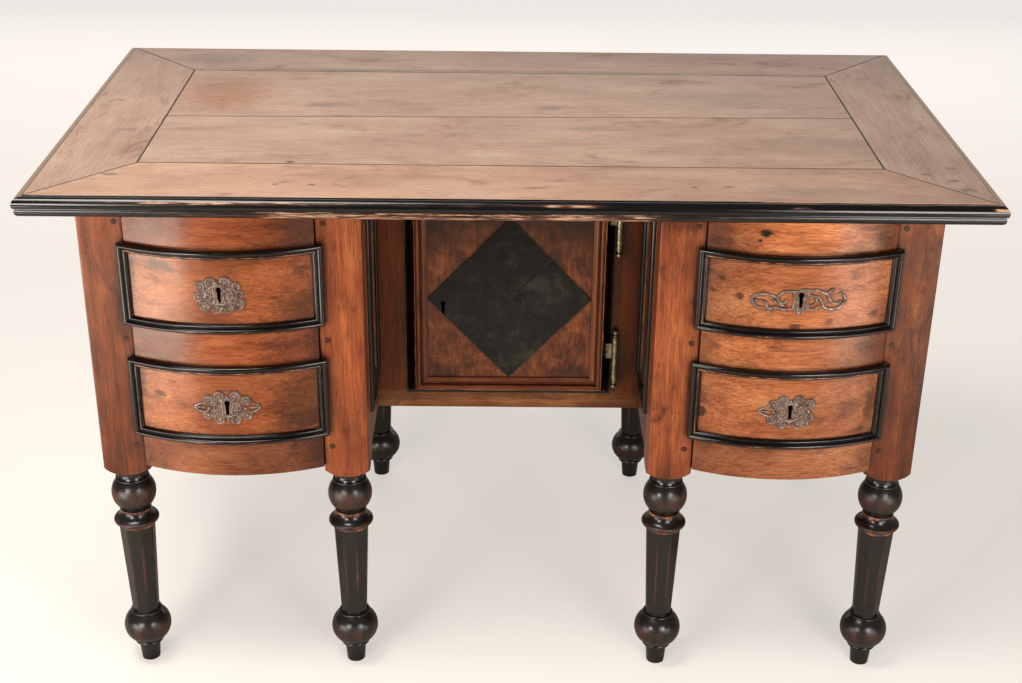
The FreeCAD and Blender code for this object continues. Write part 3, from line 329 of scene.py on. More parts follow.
# and on upright boards: x, y, z, width, height, colour and depth
frontMarks = {
    "left_top_rail": [(-470, -300, 735, 55, 30, smoke, 0.9), (-285, -300, 735, 36, 40, ink, 0.6)],
    "left_upper_drawer_front": [(-474, -300, 676, 30, 11, ink, 0.75), (-512, -280, 660, 9, 50, ink, 0.7),
        (-285, -300, 612, 44, 34, ink, 0.5)],
    "left_middle_rail": [(-470, -300, 560, 60, 40, smoke, 0.9), (-312, -300, 562, 46, 15, ink, 0.6),
        (-262, -290, 560, 18, 40, ink, 0.6)],
    "left_lower_drawer_front": [(-288, -300, 470, 52, 60, ink, 0.6), (-290, -300, 440, 36, 16, ink, 0.45),
        (-487, -300, 482, 13, 12, ink, 0.8), (-510, -280, 500, 9, 36, ink, 0.7)],
    "left_bottom_rail": [(-262, -290, 390, 30, 40, ink, 0.5)],
    "right_top_rail": [(338, -315, 734, 16, 8, "#1c120d", 1.0), (330, -315, 722, 6, 5, ink, 0.9),
        (280, -300, 716, 26, 12, ink, 0.5), (498, -300, 722, 24, 20, ink, 0.5)],
    "right_upper_drawer_front": [(285, -300, 664, 8, 7, ink, 0.7), (308, -300, 641, 8, 7, ink, 0.8),
        (274, -300, 645, 6, 5, ink, 0.6), (385, -320, 600, 14, 6, ink, 0.8), (432, -320, 606, 10, 8, ink, 0.7),
        (495, -300, 614, 15, 11, ink, 0.7)],
    "right_middle_rail": [(270, -300, 560, 20, 30, ink, 0.4), (488, -300, 562, 26, 26, ink, 0.5)],
    "right_lower_drawer_front": [(269, -300, 456, 13, 12, ink, 0.9), (504, -290, 470, 9, 44, ink, 0.7),
        (492, -300, 434, 12, 10, ink, 0.7)],
    "door_board": [(112, -117.3, 660, 70, 75, "#c7b899", 1.0)],
    "right_inner_front_post": [(235, -290, 735, 40, 16, ink, 0.6)],
    "right_outer_front_post": [(575, -290, 560, 24, 200, ink, 0.5), (548, -290, 700, 30, 50, ink, 0.4)],
}
# each goes down into the top, or in from the front
surface, down, into = 790, 60, 70
marks = {label: [((x, y, surface), (wide, deep, down), *rest) for x, y, wide, deep, *rest in rows]
         for label, rows in topMarks.items()}
for label, rows in frontMarks.items():
    marks[label] = [((x, y, z), (wide, into, tall), *rest) for x, y, z, wide, tall, *rest in rows]
# joints of the top from corner to corner
inner = {"left": ((-507, -221), (-507, 223)), "right": ((507, -221), (507, 223))}
outer = {"left": ((-627, -349), (-627, 349)), "right": ((627, -349), (627, 349))}
plankSeam = ((-507, -16.3), (507, 2.7))
seams = {"front_plank": [plankSeam], "back_plank": [plankSeam]}
for number, label in enumerate(("front", "back")):
    rail = (inner["left"][number], inner["right"][number])
    seams[f"{label}_plank"].append(rail)
    seams[f"{label}_border_board"] = [rail] + [(inner[side][number], outer[side][number]) for side in sides]
for side in sides:
    seams[f"{side}_end_board"] = [inner[side]] + [(inner[side][k], outer[side][k]) for k in (0, 1)]
    for label in ("front_plank", "back_plank"):
        seams[label].append(inner[side])
finishes = {}
for seed, (label, (look, grain)) in enumerate(timber.items()):
    finishes[label] = oldWood(f"{look['name']}_{label}", dict(
        look, grain=grain, seed=seed, marks=marks.get(label, []), seams=seams.get(label, [])))
beadWood = oldWood("walnutBead", dict(
    carcassLook, grain="x", seed=70, attribute=True, fades=[], figure=(260, 9), cloud=(120, 30), rough=(0.28, 0.4),
    grimeReach=7, tones=[(0.28, "#45210f"), (0.45, "#6a3418"), (0.57, "#834521"), (0.74, "#9c5a30")]))


def ebonised(name, look):
    # Wood stained black and polished: deep black with a gloss, rubbed through to red-brown and bare wood on its arrises
    material = newMaterial(name)
    where = put("Attribute", attribute_name="grain").outputs["Vector"]
    worn = put("Attribute", attribute_name="wear").outputs["Fac"]
    rubout = streaks(where, dict(grain="x"), look["rub"], detail=6.0, rough=0.68)
    rub = sums("ADD", rubout, worn)
    start = look["bareFrom"]
    thin = ranged(rub, start - look["thinSoft"], start + look["thinLap"], high=look["thin"])
    bare = ranged(rub, start, start + look["bareSoft"])
    dust = ranged(hollows(look["dustReach"]), *look["dustRange"], low=look["dustDepth"], high=0.0)
    colour = layered(linear(look["black"]), [
        (thin, look["brown"]), (bare, look["bare"]), (dust, look["dust"])])
    bump = put("Bump", {
        "Height": rub, "Strength": look["bump"], "Distance": look["relief"] * mm}, invert=True)
    close({
        "Base Color": colour, "Roughness": ranged(rub, *look["rubRange"], *look["rough"]),
        "Normal": bump.outputs["Normal"], "IOR": 1.5})
    return material


blackLook = dict(
    black="#080707", brown="#3a1b0f", bare="#b8794f", rub=(26, 2.6), bareFrom=1.08, bareSoft=0.07, thinSoft=0.34,
    thinLap=0.05, thin=0.8, dust="#3a2c22", dustReach=6, dustRange=(0.2, 0.8), dustDepth=0.25, rubRange=(0.6, 1.3),
    rough=(0.1, 0.42), bump=0.2, relief=0.4)
blacks = {
    "trim": ebonised("ebonisedTrim", blackLook),
    "edge": ebonised("ebonisedTopEdge", dict(blackLook, brown="#5c3220", bare="#c3967a", rub=(40, 1.8), thinSoft=0.17)),
    "ends": ebonised("ebonisedTopEnds", dict(blackLook, bare="#8a6c58", rub=(24, 2.4))),
    # a paler black than on the trim: dust and painted sheen on the flats
    "leg": ebonised("ebonisedTurnedLeg", dict(
        blackLook, black="#1a1614", brown="#5a2c18", bareFrom=1.22, rub=(60, 6), bare="#a2653c", thin=0.9,
        rough=(0.22, 0.5))),
}


def blackVeneer(name, look):
    # Flat ebonised veneer: dusty green-black, less dusty near the top, with pale rubbing, hair scratches, worn joints
    material = newMaterial(name)
    where = put("TexCoord").outputs["Object"]
    height = put("SeparateXYZ", {"Vector": where}).outputs["Z"]
    cloud = streaks(where, dict(grain="x"), look["cloud"], detail=6.0, rough=0.68, twist=0.5)
    scratch = streaks(where, dict(grain="z", seed=3), look["scratch"], detail=2.0, twist=0.6)
    tone = put("ValToRGB", {"Fac": cloud}, stops=look["tones"]).outputs["Color"]
    masks = [(ranged(scratch, *look["hairRange"], high=look["hairDepth"]), look["hair"])]
    for way in (1, -1):
        # the tiles meet on two lines through the middle, level with the lozenge's sides
        normal = np.array([look["half"][1], 0, look["half"][0] * way]) / math.hypot(*look["half"])
        far = fromLine(where, normal, look["middle"])
        far = sums("MULTIPLY_ADD", cloud, look["jointRagged"] * mm, far)
        start, end = (reach * mm for reach in look["jointRange"])
        masks.append((ranged(far, start, end, high=look["jointDepth"]), look["joint"]))
    start, end = (level * mm for level in look["shineLevels"])
    close({
        "Base Color": layered(tone, masks), "Roughness": ranged(cloud, *usual, *look["rough"]),
        "IOR": 1.45, "Specular IOR Level": ranged(height, start, end, *look["shine"])})
    return material


blacks["veneer"] = blackVeneer("ebonisedVeneer", dict(
    tones=[(0.36, "#070604"), (0.55, "#12110c"), (0.70, "#302e25")], cloud=(44, 34), scratch=(70, 2.2),
    hair="#46423a", hairRange=(0.64, 0.74), hairDepth=0.5, joint="#585246", jointRange=(2.4, 1.9), jointRagged=3,
    jointDepth=0.75, middle=(0, 0, 548), half=(121.5, 129.5), rough=(0.3, 0.5), shineLevels=(700, 540),
    shine=(0.16, 0.38)))


def oldMetal(name, look):
    # Cast or forged metal, dull and dirty in its hollows, darker in deep gaps as painted shade, and rubbed bright where
    # it stands proud
    material = newMaterial(name)
    where = put("TexCoord").outputs["Object"]
    proud = put("Attribute", attribute_name="wear").outputs["Fac"]
    spot = streaks(where, dict(grain="x"), (look["spot"], look["spot"]), detail=5.0, rough=0.7)
    tone = put("ValToRGB", {"Fac": spot}, stops=look["tones"]).outputs["Color"]
    grime = ranged(hollows(look["grimeReach"]), *look["grimeAndShadeRange"], low=look["grime"], high=0.0)
    rub = ranged(sums("MULTIPLY", proud, spot), *look["rubRange"], high=look["rubDepth"])
    bump = put("Bump", {"Height": spot, "Strength": look["bump"], "Distance": look["relief"] * mm})
    close({
        "Base Color": layered(tone, [(grime, look["grimeColour"]), (rub, look["rubbed"])]),
        # the brown skin is an oxide, so only the rubbed metal is wholly metallic
        "Metallic": ranged(rub, 0.0, 1.0, low=look["metallic"]),
        "Roughness": ranged(spot, *usual, *look["rough"]), "Normal": bump.outputs["Normal"]})
    return material


metalLook = dict(grime=0.95, grimeAndShadeRange=(0.3, 0.9), rubRange=(0.38, 0.62), rubDepth=0.8, bump=0.35, relief=0.3)
metals = {
    "bronze": oldMetal("patinatedCastBronze", dict(
        metalLook, tones=[(0.34, "#4e3a30"), (0.5, "#735b4f"), (0.66, "#917a70")], spot=5, rough=(0.46, 0.3),
        rubbed="#bfb0a6", grimeReach=3, grimeColour="#21150f", metallic=0.3)),
    # its long reach darkens the leaves in the gap by the door: grime and painted shade
    "brass": oldMetal("wornCastBrass", dict(
        metalLook, tones=[(0.34, "#4c4230"), (0.48, "#8f8466"), (0.66, "#bdb495")], spot=4, rough=(0.44, 0.24),
        rubbed="#dcd6c2", grimeReach=14, grimeColour="#20170e", metallic=0.85)),
    "iron": oldMetal("blackForgedIron", dict(
        metalLook, tones=[(0.30, "#241f1c"), (0.52, "#3f3a36"), (0.72, "#5a4b40")], spot=9, rough=(0.7, 0.48),
        rubbed="#6f6a64", grime=0.5, grimeReach=6, grimeColour="#120d0a", bump=0.4, metallic=0.6)),
}
finishes["door_inner_moulding"] = beadWood
# the other nodes by the last word of their names
endings = dict.fromkeys(("legs", "mouldings", "moulding", "lip", "lozenge"), blacks["veneer"])
endings.update(escutcheon=metals["bronze"], lock=metals["iron"], leaves=metals["brass"])
for label, node in cadNodes.items():
    node.data.materials.clear()
    node.data.materials.append(finishes.get(label) or endings[label.split("_")[-1]])
print("finishes:", len(bpy.data.materials), "materials on", len(cadNodes), "nodes")


# surfaces
def gridQuads(rows, columns, wrapRows):
    # corners of each quad of a rows by columns grid of points, closed along its columns
    i = np.arange(rows if wrapRows else rows - 1)[:, None]
    j = np.arange(columns)[None, :]
    nextRow, nextColumn = (i + 1) % rows, (j + 1) % columns
    corners = [i * columns + j, i * columns + nextColumn, nextRow * columns + nextColumn, nextRow * columns + j]
    return np.stack(corners, -1).reshape(-1, 4)


def stacked(*parts):
    # coordinates to one array, each spread over the whole grid
    return np.stack(np.broadcast_arrays(*parts), -1)


def makePiece(name, grids, material, body, stands, sharp=38):
    # a grid holds points in mm, its grain coordinates in mm and its wear from 0 to 1; open ends are capped
    points, grain, wear, faces, count = [], [], [], [], 0
    for grid in grids:
        rows, columns = grid["points"].shape[:2]
        wrapped = grid.get("wrapRows", False)
        faces += (gridQuads(rows, columns, wrapped) + count).tolist()
        if not wrapped:
            faces.append((np.arange(columns) + count).tolist())
            faces.append((np.arange(columns) + count + (rows - 1) * columns).tolist())
        points.append(grid["points"].reshape(-1, 3))
        grain.append(grid["grain"].reshape(-1, 3))
        wear.append(np.broadcast_to(grid["wear"], (rows, columns)).ravel())
        count += rows * columns
    mesh = bpy.data.meshes.new(name)
    mesh.from_pydata((np.concatenate(points) * mm).tolist(), [], faces)
    mesh.attributes.new("grain", "FLOAT_VECTOR", "POINT").data.foreach_set("vector", np.concatenate(grain).ravel() * mm)
    mesh.attributes.new("wear", "FLOAT", "POINT").data.foreach_set("value", np.concatenate(wear))
    work = bmesh.new()
    work.from_mesh(mesh)
    bmesh.ops.recalc_face_normals(work, faces=work.faces)
    work.to_mesh(mesh)
    work.free()
    mesh.polygons.foreach_set("use_smooth", np.ones(len(mesh.polygons), bool))
    mesh.set_sharp_from_angle(angle=math.radians(sharp))
    mesh.materials.append(material)
    piece = bpy.data.objects.new(name, mesh)
    scene.collection.objects.link(piece)
    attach(piece, body)
    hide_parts(*stands)


def drawOutline(corners, steps=8, closed=True):
    # polyline through corners (x, y), or (x, y, rise) where an arc of that rise leaves the corner, to its left
    pieces = []
    ends = corners[1:] + corners[:1] if closed else corners[1:]
    for start, end in zip(corners, ends):
        a, b = np.array(start[:2], float), np.array(end[:2], float)
        if len(start) == 2:
            pieces.append(a[None, :])
            continue
        t = np.linspace(0, 1, steps, endpoint=False)[:, None]
        chord, rise = np.linalg.norm(b - a), start[2]
        radius = (chord ** 2 / 4 + rise ** 2) / (2 * abs(rise))
        lift = np.sqrt(radius ** 2 - (chord * (t - 0.5)) ** 2) - (radius - abs(rise))
        left = np.array([a[1] - b[1], b[0] - a[0]]) / chord
        pieces.append(a + (b - a) * t + left * lift * math.copysign(1, rise))
    if not closed:
        pieces.append(np.array([corners[-1][:2]], float))
    return np.concatenate(pieces)


def evenOutline(corners, spacing, arcSteps=24, least=24):
    # the same outline with points at an even spacing, which just softens its arrises
    line = drawOutline(corners, steps=arcSteps)
    loop = np.concatenate([line, line[:1]])
    run = np.concatenate([[0], np.cumsum(np.linalg.norm(np.diff(loop, axis=0), axis=1))])
    at = np.linspace(0, run[-1], max(least, int(run[-1] / spacing)), endpoint=False)
    return np.stack([np.interp(at, run, loop[:, 0]), np.interp(at, run, loop[:, 1])], 1)


def arrisWear(outline, reach=4):
    # how far each point stands outside the mean of its neighbours: high on arrises, nothing in hollows
    mean = np.mean([np.roll(outline, k, axis=0) for k in range(-reach, reach + 1)], axis=0)
    tangent = np.roll(outline, -1, axis=0) - np.roll(outline, 1, axis=0)
    turn = np.sign(np.sum(outline[:, 0] * np.roll(outline[:, 1], -1) - np.roll(outline[:, 0], -1) * outline[:, 1]))
    normal = np.stack([tangent[:, 1], -tangent[:, 0]], 1) * turn / np.linalg.norm(tangent, axis=1)[:, None]
    proud = np.sum((outline - mean) * normal, axis=1)
    return np.clip(proud / max(proud.max(), 1e-6), 0, 1)


def shares(section, width, thickness):
    # section in shares of its width and thickness to mm
    return [(across * width, up * thickness, *[rise * thickness for rise in rest]) for across, up, *rest in section]


# how far apart strips and legs start in the grain, so that no two are alike
grainStep = dict(side=700, bowed=900, upright=400, leg=500, pedestal=3000)


def mitredFrame(centre, acrossAxis, upAxis, width, height, outline, wear, rows=2):
    # four strips: the section is carried along each side, and its run is shorter by its distance from the outer edge
    acrossAxis, upAxis = np.array(acrossAxis, float), np.array(upAxis, float)
    face = np.cross(acrossAxis, upAxis)
    grids = []
    for turn in range(4):
        along = (acrossAxis, upAxis, -acrossAxis, -upAxis)[turn]
        inward = (upAxis, -acrossAxis, -upAxis, acrossAxis)[turn]
        half, reach = ((width, height), (height, width))[turn % 2]
        t = np.linspace(-1, 1, rows)[:, None]
        run = t * (half / 2 - outline[None, :, 0])
        points = (np.array(centre, float) - inward * reach / 2 + run[..., None] * along
                  + outline[None, :, :1] * inward + outline[None, :, 1:] * face)
        grain = stacked(run + grainStep["side"] * turn, outline[:, 0], outline[:, 1])
        grids.append(dict(points=points, grain=grain, wear=wear))
    return grids


# sections in shares of their width and thickness, with the rise of an arc third
lipSection = [(0, 0), (0, 0.5, 0.33), (0.52, 0.72), (0.57, 0.46), (0.62, 0.46, 0.16), (0.94, 0.36), (1, 0.2), (1, 0)]
coveSection = [(0, 0), (0, 0.12), (0.1, 0.14, -0.14), (0.9, 0.97), (1, 1)]
innerSection = [(0, 0), (0, 0.7, 0.3), (0.4, 0.7), (0.44, 0.45), (0.52, 0.45), (0.56, 0.7, -0.12),
                (0.9, 0.35), (0.9, 0.28), (1, 0.28), (1, 0)]
edgeSection = [(1, 0), (0.95, 0), (0.95, -0.075), (0.87, -0.075), (0.82, -0.04, -0.206), (0.13, -0.555),
               (0.28, -0.565), (0.28, -0.59), (0.27, -0.6, -0.095), (0.52, -0.985), (0.58, -1), (1, -1)]

# how far sleeves, chairs and knees have rubbed the front, from left to right: its arris, the nose and the lower bead;
# the pale line along the arris is partly a painted highlight
topEdge = dict(
    width=1280, depth=725, level=790, strip=13.5, height=27, spacing=0.6, rows=90,
    arris=[(-640, 0.1), (-140, 0.2), (-110, 0.45), (300, 0.5), (330, 0.72), (640, 0.75)],
    nose=[(-640, 0.3), (-540, 0.48), (-478, 0.48), (-465, 0.64), (-376, 0.62), (-360, 0.54), (-205, 0.56),
          (-190, 0.46), (30, 0.44), (44, 0.62), (114, 0.6), (130, 0.28), (350, 0.28), (360, 0.54), (385, 0.54),
          (395, 0.2), (610, 0.2), (620, 0.74), (640, 0.74)],
    bead=[(-640, 0.36), (-330, 0.42), (-318, 0.58), (165, 0.58), (200, 0.42), (640, 0.34)],
    arrisWidth=0.06, noseAt=-0.18, noseWidth=0.12, beadFrom=-0.59, beadSoft=0.02, shoulderTo=-0.17, shoulderSoft=0.05)
outline = evenOutline(shares(edgeSection, topEdge["strip"], topEdge["height"]), topEdge["spacing"])
share = outline[:, 1] / topEdge["height"]
zones = {"arris": np.exp(-(share / topEdge["arrisWidth"]) ** 2),
         "nose": np.exp(-((share - topEdge["noseAt"]) / topEdge["noseWidth"]) ** 2),
         "bead": np.clip((topEdge["beadFrom"] - share) / topEdge["beadSoft"], 0, 1)}
# along the ends and the back the black has gone from the whole shoulder of the nose
shoulder = np.clip((share - topEdge["shoulderTo"]) / topEdge["shoulderSoft"], 0, 1)
grids = mitredFrame((0, 0, topEdge["level"]), (1, 0, 0), (0, 1, 0), topEdge["width"], topEdge["depth"], outline,
                    shoulder, rows=topEdge["rows"])
run = grids[0]["points"][..., 0]
grids[0]["wear"] = np.maximum.reduce([np.interp(run, *zip(*topEdge[key])) * zone for key, zone in zones.items()])
makePiece("edge_front_strip", grids[:1], blacks["edge"], "carcass", ["top_edge_moulding"])
makePiece("edge_end_strips", grids[1:], blacks["ends"], "carcass", ["top_edge_moulding"])

doorTrim = dict(middle=548, lipBack=-110.3, lip=(308, 324, 15, 21), step=12, rebate=12.5, face=-122.3,
                inner=(278, 294, 17, 10), spacing=0.5)
width, height, strip, thickness = doorTrim["lip"]
cove = shares(coveSection, strip, thickness) + [(strip, doorTrim["step"]), (doorTrim["rebate"], doorTrim["step"]),
                                                (doorTrim["rebate"], 0)]
outline = evenOutline(cove, doorTrim["spacing"])
grids = mitredFrame((0, doorTrim["lipBack"], doorTrim["middle"]), (1, 0, 0), (0, 0, 1), width, height, outline,
                    arrisWear(outline))
makePiece("door_lip_strips", grids, blacks["trim"], "cupboard_door", ["door_lip_moulding"])
width, height, strip, thickness = doorTrim["inner"]
outline = evenOutline(shares(innerSection, strip, thickness), doorTrim["spacing"])
grids = mitredFrame((0, doorTrim["face"], doorTrim["middle"]), (1, 0, 0), (0, 0, 1), width, height, outline,
                    arrisWear(outline))
makePiece("door_inner_strips", grids, beadWood, "cupboard_door", ["door_inner_moulding"])

sideTrim = dict(inner=(200, -240, -112), outer=(580, -240, 285), low=420, high=745, strip=16, thickness=7, spacing=0.5)
outline = evenOutline(shares(lipSection, sideTrim["strip"], sideTrim["thickness"]), sideTrim["spacing"])
for side, sign in sides.items():
    grids = []
    for place, away in (("inner", 1), ("outer", -1)):
        x, front, back = sideTrim[place]
        centre = (x * sign, (front + back) / 2, (sideTrim["low"] + sideTrim["high"]) / 2)
        grids += mitredFrame(centre, (0, -away * sign, 0), (0, 0, 1), back - front,
                             sideTrim["high"] - sideTrim["low"], outline, arrisWear(outline))
    makePiece(f"{side}_side_strips", grids, blacks["trim"], "carcass", [f"{side}_side_mouldings"])
print("straight mouldings done")

# drawer lips, on the bow of the fronts
drawerLip = dict(strip=13, thickness=9.5, lap=8.5, height=103, upper=592, lower=421, spacing=0.5, rows=40,
                 uprightRows=4, crowns=(0.26, 0.75), crownWidth=0.15,
                 rubs={"top": (0.34, 0.6), "bottom": (0.5, 0.3), "upright": (0.42, 0.56)})


def onBow(x, angle, radius, z):
    # a point at an angle round the upright axis of the bow
    return stacked(x + radius * np.sin(angle), bow["centre"] - radius * np.cos(angle), z)


def lipWear(outline, rubs):
    # hands rub the crowns of the outer round and of the inner bead
    share = outline[:, 0] / drawerLip["strip"]
    return sum(rub * np.exp(-((share - crown) / drawerLip["crownWidth"]) ** 2)
               for rub, crown in zip(rubs, drawerLip["crowns"]))


def bowedLip(x, middle, outline, wear):
    # level strips follow the bow and end on the mitre; upright strips stand square to the bow at their middle
    half = drawerLip["strip"] / 2
    tall = drawerLip["height"] / 2 + drawerLip["lap"]
    turn = math.asin((bow["opening"] + drawerLip["lap"] - half) / bow["face"])
    across, up = outline[None, :, 0], outline[None, :, 1]
    radius = bow["face"] + up
    t = np.linspace(-1, 1, drawerLip["rows"])[:, None]
    end = turn + np.arctan((half - across) / radius)
    rise = np.linspace(-1, 1, drawerLip["uprightRows"])[:, None] * (tall - across)
    grids = []
    for way, place in ((1, "top"), (-1, "bottom")):
        points = onBow(x, t * end, radius, middle + way * (tall - across))
        grain = stacked(t * end * bow["face"] + grainStep["bowed"] * way, across, up)
        grids.append(dict(points=points, grain=grain, wear=wear[place]))
        sideways = np.array([math.cos(turn), math.sin(turn) * way, 0]) * way
        points = onBow(x, turn * way, radius, middle + rise) + (half - across)[..., None] * sideways
        grain = stacked(rise + grainStep["upright"] * way, across, up)
        grids.append(dict(points=points, grain=grain, wear=wear["upright"]))
    return grids


outline = evenOutline(shares(lipSection, drawerLip["strip"], drawerLip["thickness"]), drawerLip["spacing"])
rubs = {place: lipWear(outline, rub) for place, rub in drawerLip["rubs"].items()}
for side, sign in sides.items():
    for level in levels:
        middle = drawerLip[level] + drawerLip["height"] / 2
        makePiece(f"{side}_{level}_lip_strips", bowedLip(bow["x"] * sign, middle, outline, rubs),
                  blacks["trim"], f"{side}_{level}_drawer", [f"{side}_{level}_drawer_lip"])
print("drawer lips done")

# escutcheons: cast openwork of half-round strands, bent to the bow; sizes in mm
plate = dict(
    base=0.1, rise=2.2, keyBow=4, keySlot=2.3, keyHalf=11, keyGap=0.15, upper=640, lower=469, around=240, least=15,
    ground=0.8, collar=1.0, rim=2.6, curlIn=1.6, curl=2.8, tendril=2.2, boss=(0.26, 2.0), tip=3.4, vein=3.2,
    ring=(18, 13.5), nail=(3.1, 2.8), lean=1.5, turns=1.05, back=0.4, shrink=0.5, taper=2.5, endRise=0.55, fullWidth=3,
    tendrilPath=((0.74, 0.74, 0), (0.55, 0.5, 2), (0.32, 0.42, 0)), veinEnd=0.95)


def curve(points, closed=False, steps=6):
    # smooth cubic through points in the plane of the plate, each tangent half the step between its neighbours
    p = np.array(points, float)
    if closed:
        before, start, after, beyond = np.roll(p, 1, 0), p, np.roll(p, -1, 0), np.roll(p, -2, 0)
    else:
        p = np.concatenate([2 * p[:1] - p[1:2], p, 2 * p[-1:] - p[-2:-1]])
        before, start, after, beyond = p[:-3], p[1:-2], p[2:-1], p[3:]
    before, start, after, beyond = (q[:, None, :] for q in (before, start, after, beyond))
    t = np.linspace(0, 1, steps, endpoint=False)[None, :, None]
    path = start + 0.5 * ((after - before) * t + (2 * before - 5 * start + 4 * after - beyond) * t ** 2
                          + (3 * start - before - 3 * after + beyond) * t ** 3)
    path = path.reshape(-1, 2)
    return path if closed else np.concatenate([path, p[-2:-1]])


def curl(u, v, radius, facing, hand, steps=26):
    # C-scroll: the radius shrinks as it turns in from the outside of its lobe
    t = np.linspace(0, 1, steps)
    angle = facing + hand * (t * plate["turns"] - plate["back"]) * 2 * math.pi
    reach = radius * (1 - plate["shrink"] * t ** 2)
    return np.stack([u + reach * np.cos(angle), v + reach * np.sin(angle)], 1)


def onPlate(x, z, u, v, h):
    # the plate's own plane laid on the bow: u runs along the arc
    return onBow(x, u / bow["face"], bow["face"] + plate["base"] + h, z + v)


def strandGrid(x, z, path, width, closed=False, thin=0.45, flat=1.0, steps=9):
    # rounded section carried along the path and tapered to its ends; flat below 1 squares its shoulders
    along = np.roll(path, -1, 0) - np.roll(path, 1, 0) if closed else np.gradient(path, axis=0)
    along /= np.linalg.norm(along, axis=1)[:, None]
    t = np.linspace(-1, 1, len(path))[:, None]
    size = 1 if closed else 1 - (1 - thin) * np.abs(t) ** plate["taper"]
    a = np.linspace(0, math.pi, steps)[None, :]
    across = np.cos(a) * size * width / 2
    low = plate["endRise"]
    up = np.sin(a) ** flat * (low + (1 - low) * size) * plate["rise"] * min(1, width / plate["fullWidth"])
    points = onPlate(x, z, path[:, :1] - along[:, 1:] * across, path[:, 1:] + along[:, :1] * across, up)
    return dict(points=points, grain=points, wear=np.sin(a) ** 2, wrapRows=closed)


def domeGrid(x, z, u, v, radius, rise, steps=(8, 20), pole=0.004):
    # round nail head: a quarter circle turned round its middle
    a = np.linspace(pole, math.pi / 2, steps[0])[:, None]
    turn = np.linspace(0, 2 * math.pi, steps[1], endpoint=False)[None, :]
    points = onPlate(x, z, u + radius * np.sin(a) * np.cos(turn), v + radius * np.sin(a) * np.sin(turn),
                     rise * np.cos(a))
    return dict(points=points, grain=points, wear=np.cos(a))


def keyPlateGrid(x, z, shield, thick, holeSteps=40, steps=72, fineSteps=3000):
    # flat plate between the keyhole and the shield's outline, both taken at the same angles round the middle
    slot, bowRadius, half = plate["keySlot"], plate["keyBow"], plate["keyHalf"]
    gap = math.asin(slot / bowRadius)
    a = np.linspace(gap - math.pi / 2, 1.5 * math.pi - gap, holeSteps)
    hole = np.concatenate([[(-slot, -half), (slot, -half)],
                           np.stack([bowRadius * np.cos(a), half - bowRadius + bowRadius * np.sin(a)], 1)])
    turn = np.linspace(-math.pi, math.pi, steps, endpoint=False)

    def reachAt(line):
        loop = np.concatenate([line, line[:1]])
        at = np.linspace(0, len(line), fineSteps)
        fine = np.stack([np.interp(at, np.arange(len(line) + 1), loop[:, k]) for k in (0, 1)], 1)
        angle = np.arctan2(fine[:, 1], fine[:, 0])
        order = np.argsort(angle)
        return np.interp(turn, angle[order], np.hypot(fine[:, 0], fine[:, 1])[order], period=2 * math.pi)

    inner, outer = reachAt(hole) + plate["keyGap"], reachAt(shield)
    reach = np.stack([inner, inner, outer, outer])
    lift = np.array([0, thick, thick, 0])[:, None]
    points = onPlate(x, z, reach * np.cos(turn), reach * np.sin(turn), lift)
    return dict(points=points, grain=points, wear=0, wrapRows=True)


# lobes are (u, v, radius) and nails (u, v) from the keyhole
cartouches = {
    "left_upper": dict(
        lobes=[(-10, 17.5, 8.8), (8.5, 18, 9), (-24, 11.5, 8.4), (22.5, 13, 6.8), (-27.5, -3.5, 7.6), (27, 1.5, 6.2),
               (-20, -16.5, 8.6), (25, -13.5, 9.4), (-3.5, -21, 7.4), (12, -19.5, 7.8)],
        nails=[(-1.5, 16.8), (3.5, -19), (-19, -3), (17.5, -3)], tips=[]),
    "left_lower": dict(
        lobes=[(way * u, v, radius) for way in (1, -1) for u, v, radius in (
            (10.5, 17.5, 8.6), (25.5, 11, 8), (26.5, -11.5, 8.2), (10.5, -18.5, 8.4))],
        nails=[(0, 16.5), (0, -18), (-25.5, -1), (25, -1)],
        tips=[[(way * u, v) for u, v in ((30, 8), (38, 5.5), (45, 0), (38, -5.5), (30, -8))] for way in (-1, 1)]),
    "right_lower": dict(
        lobes=[(10.5, 17.5, 8.6), (-10.5, 17.5, 8.6), (-23.5, 11, 8), (26, 12.5, 9), (-24, -12.5, 8.4), (27, -7, 7.4),
               (-10, -18.5, 8.4), (11, -18.5, 8.4), (21, -17, 6.4)],
        nails=[(0, 16.5), (0, -18), (-22, -1), (25.5, 1)],
        tips=[[(-27, 9), (-36, 5), (-43.5, 0), (-36, -5), (-27, -8)]]),
}
collar = [(0, 14.5), (6.5, 12), (7.6, 4), (6.2, -4), (7, -12), (0, -15), (-7, -12), (-6.2, -4), (-7.6, 4), (-6.5, 12)]
collarLine = curve(collar, closed=True)
turn = np.linspace(-math.pi, math.pi, plate["around"], endpoint=False)
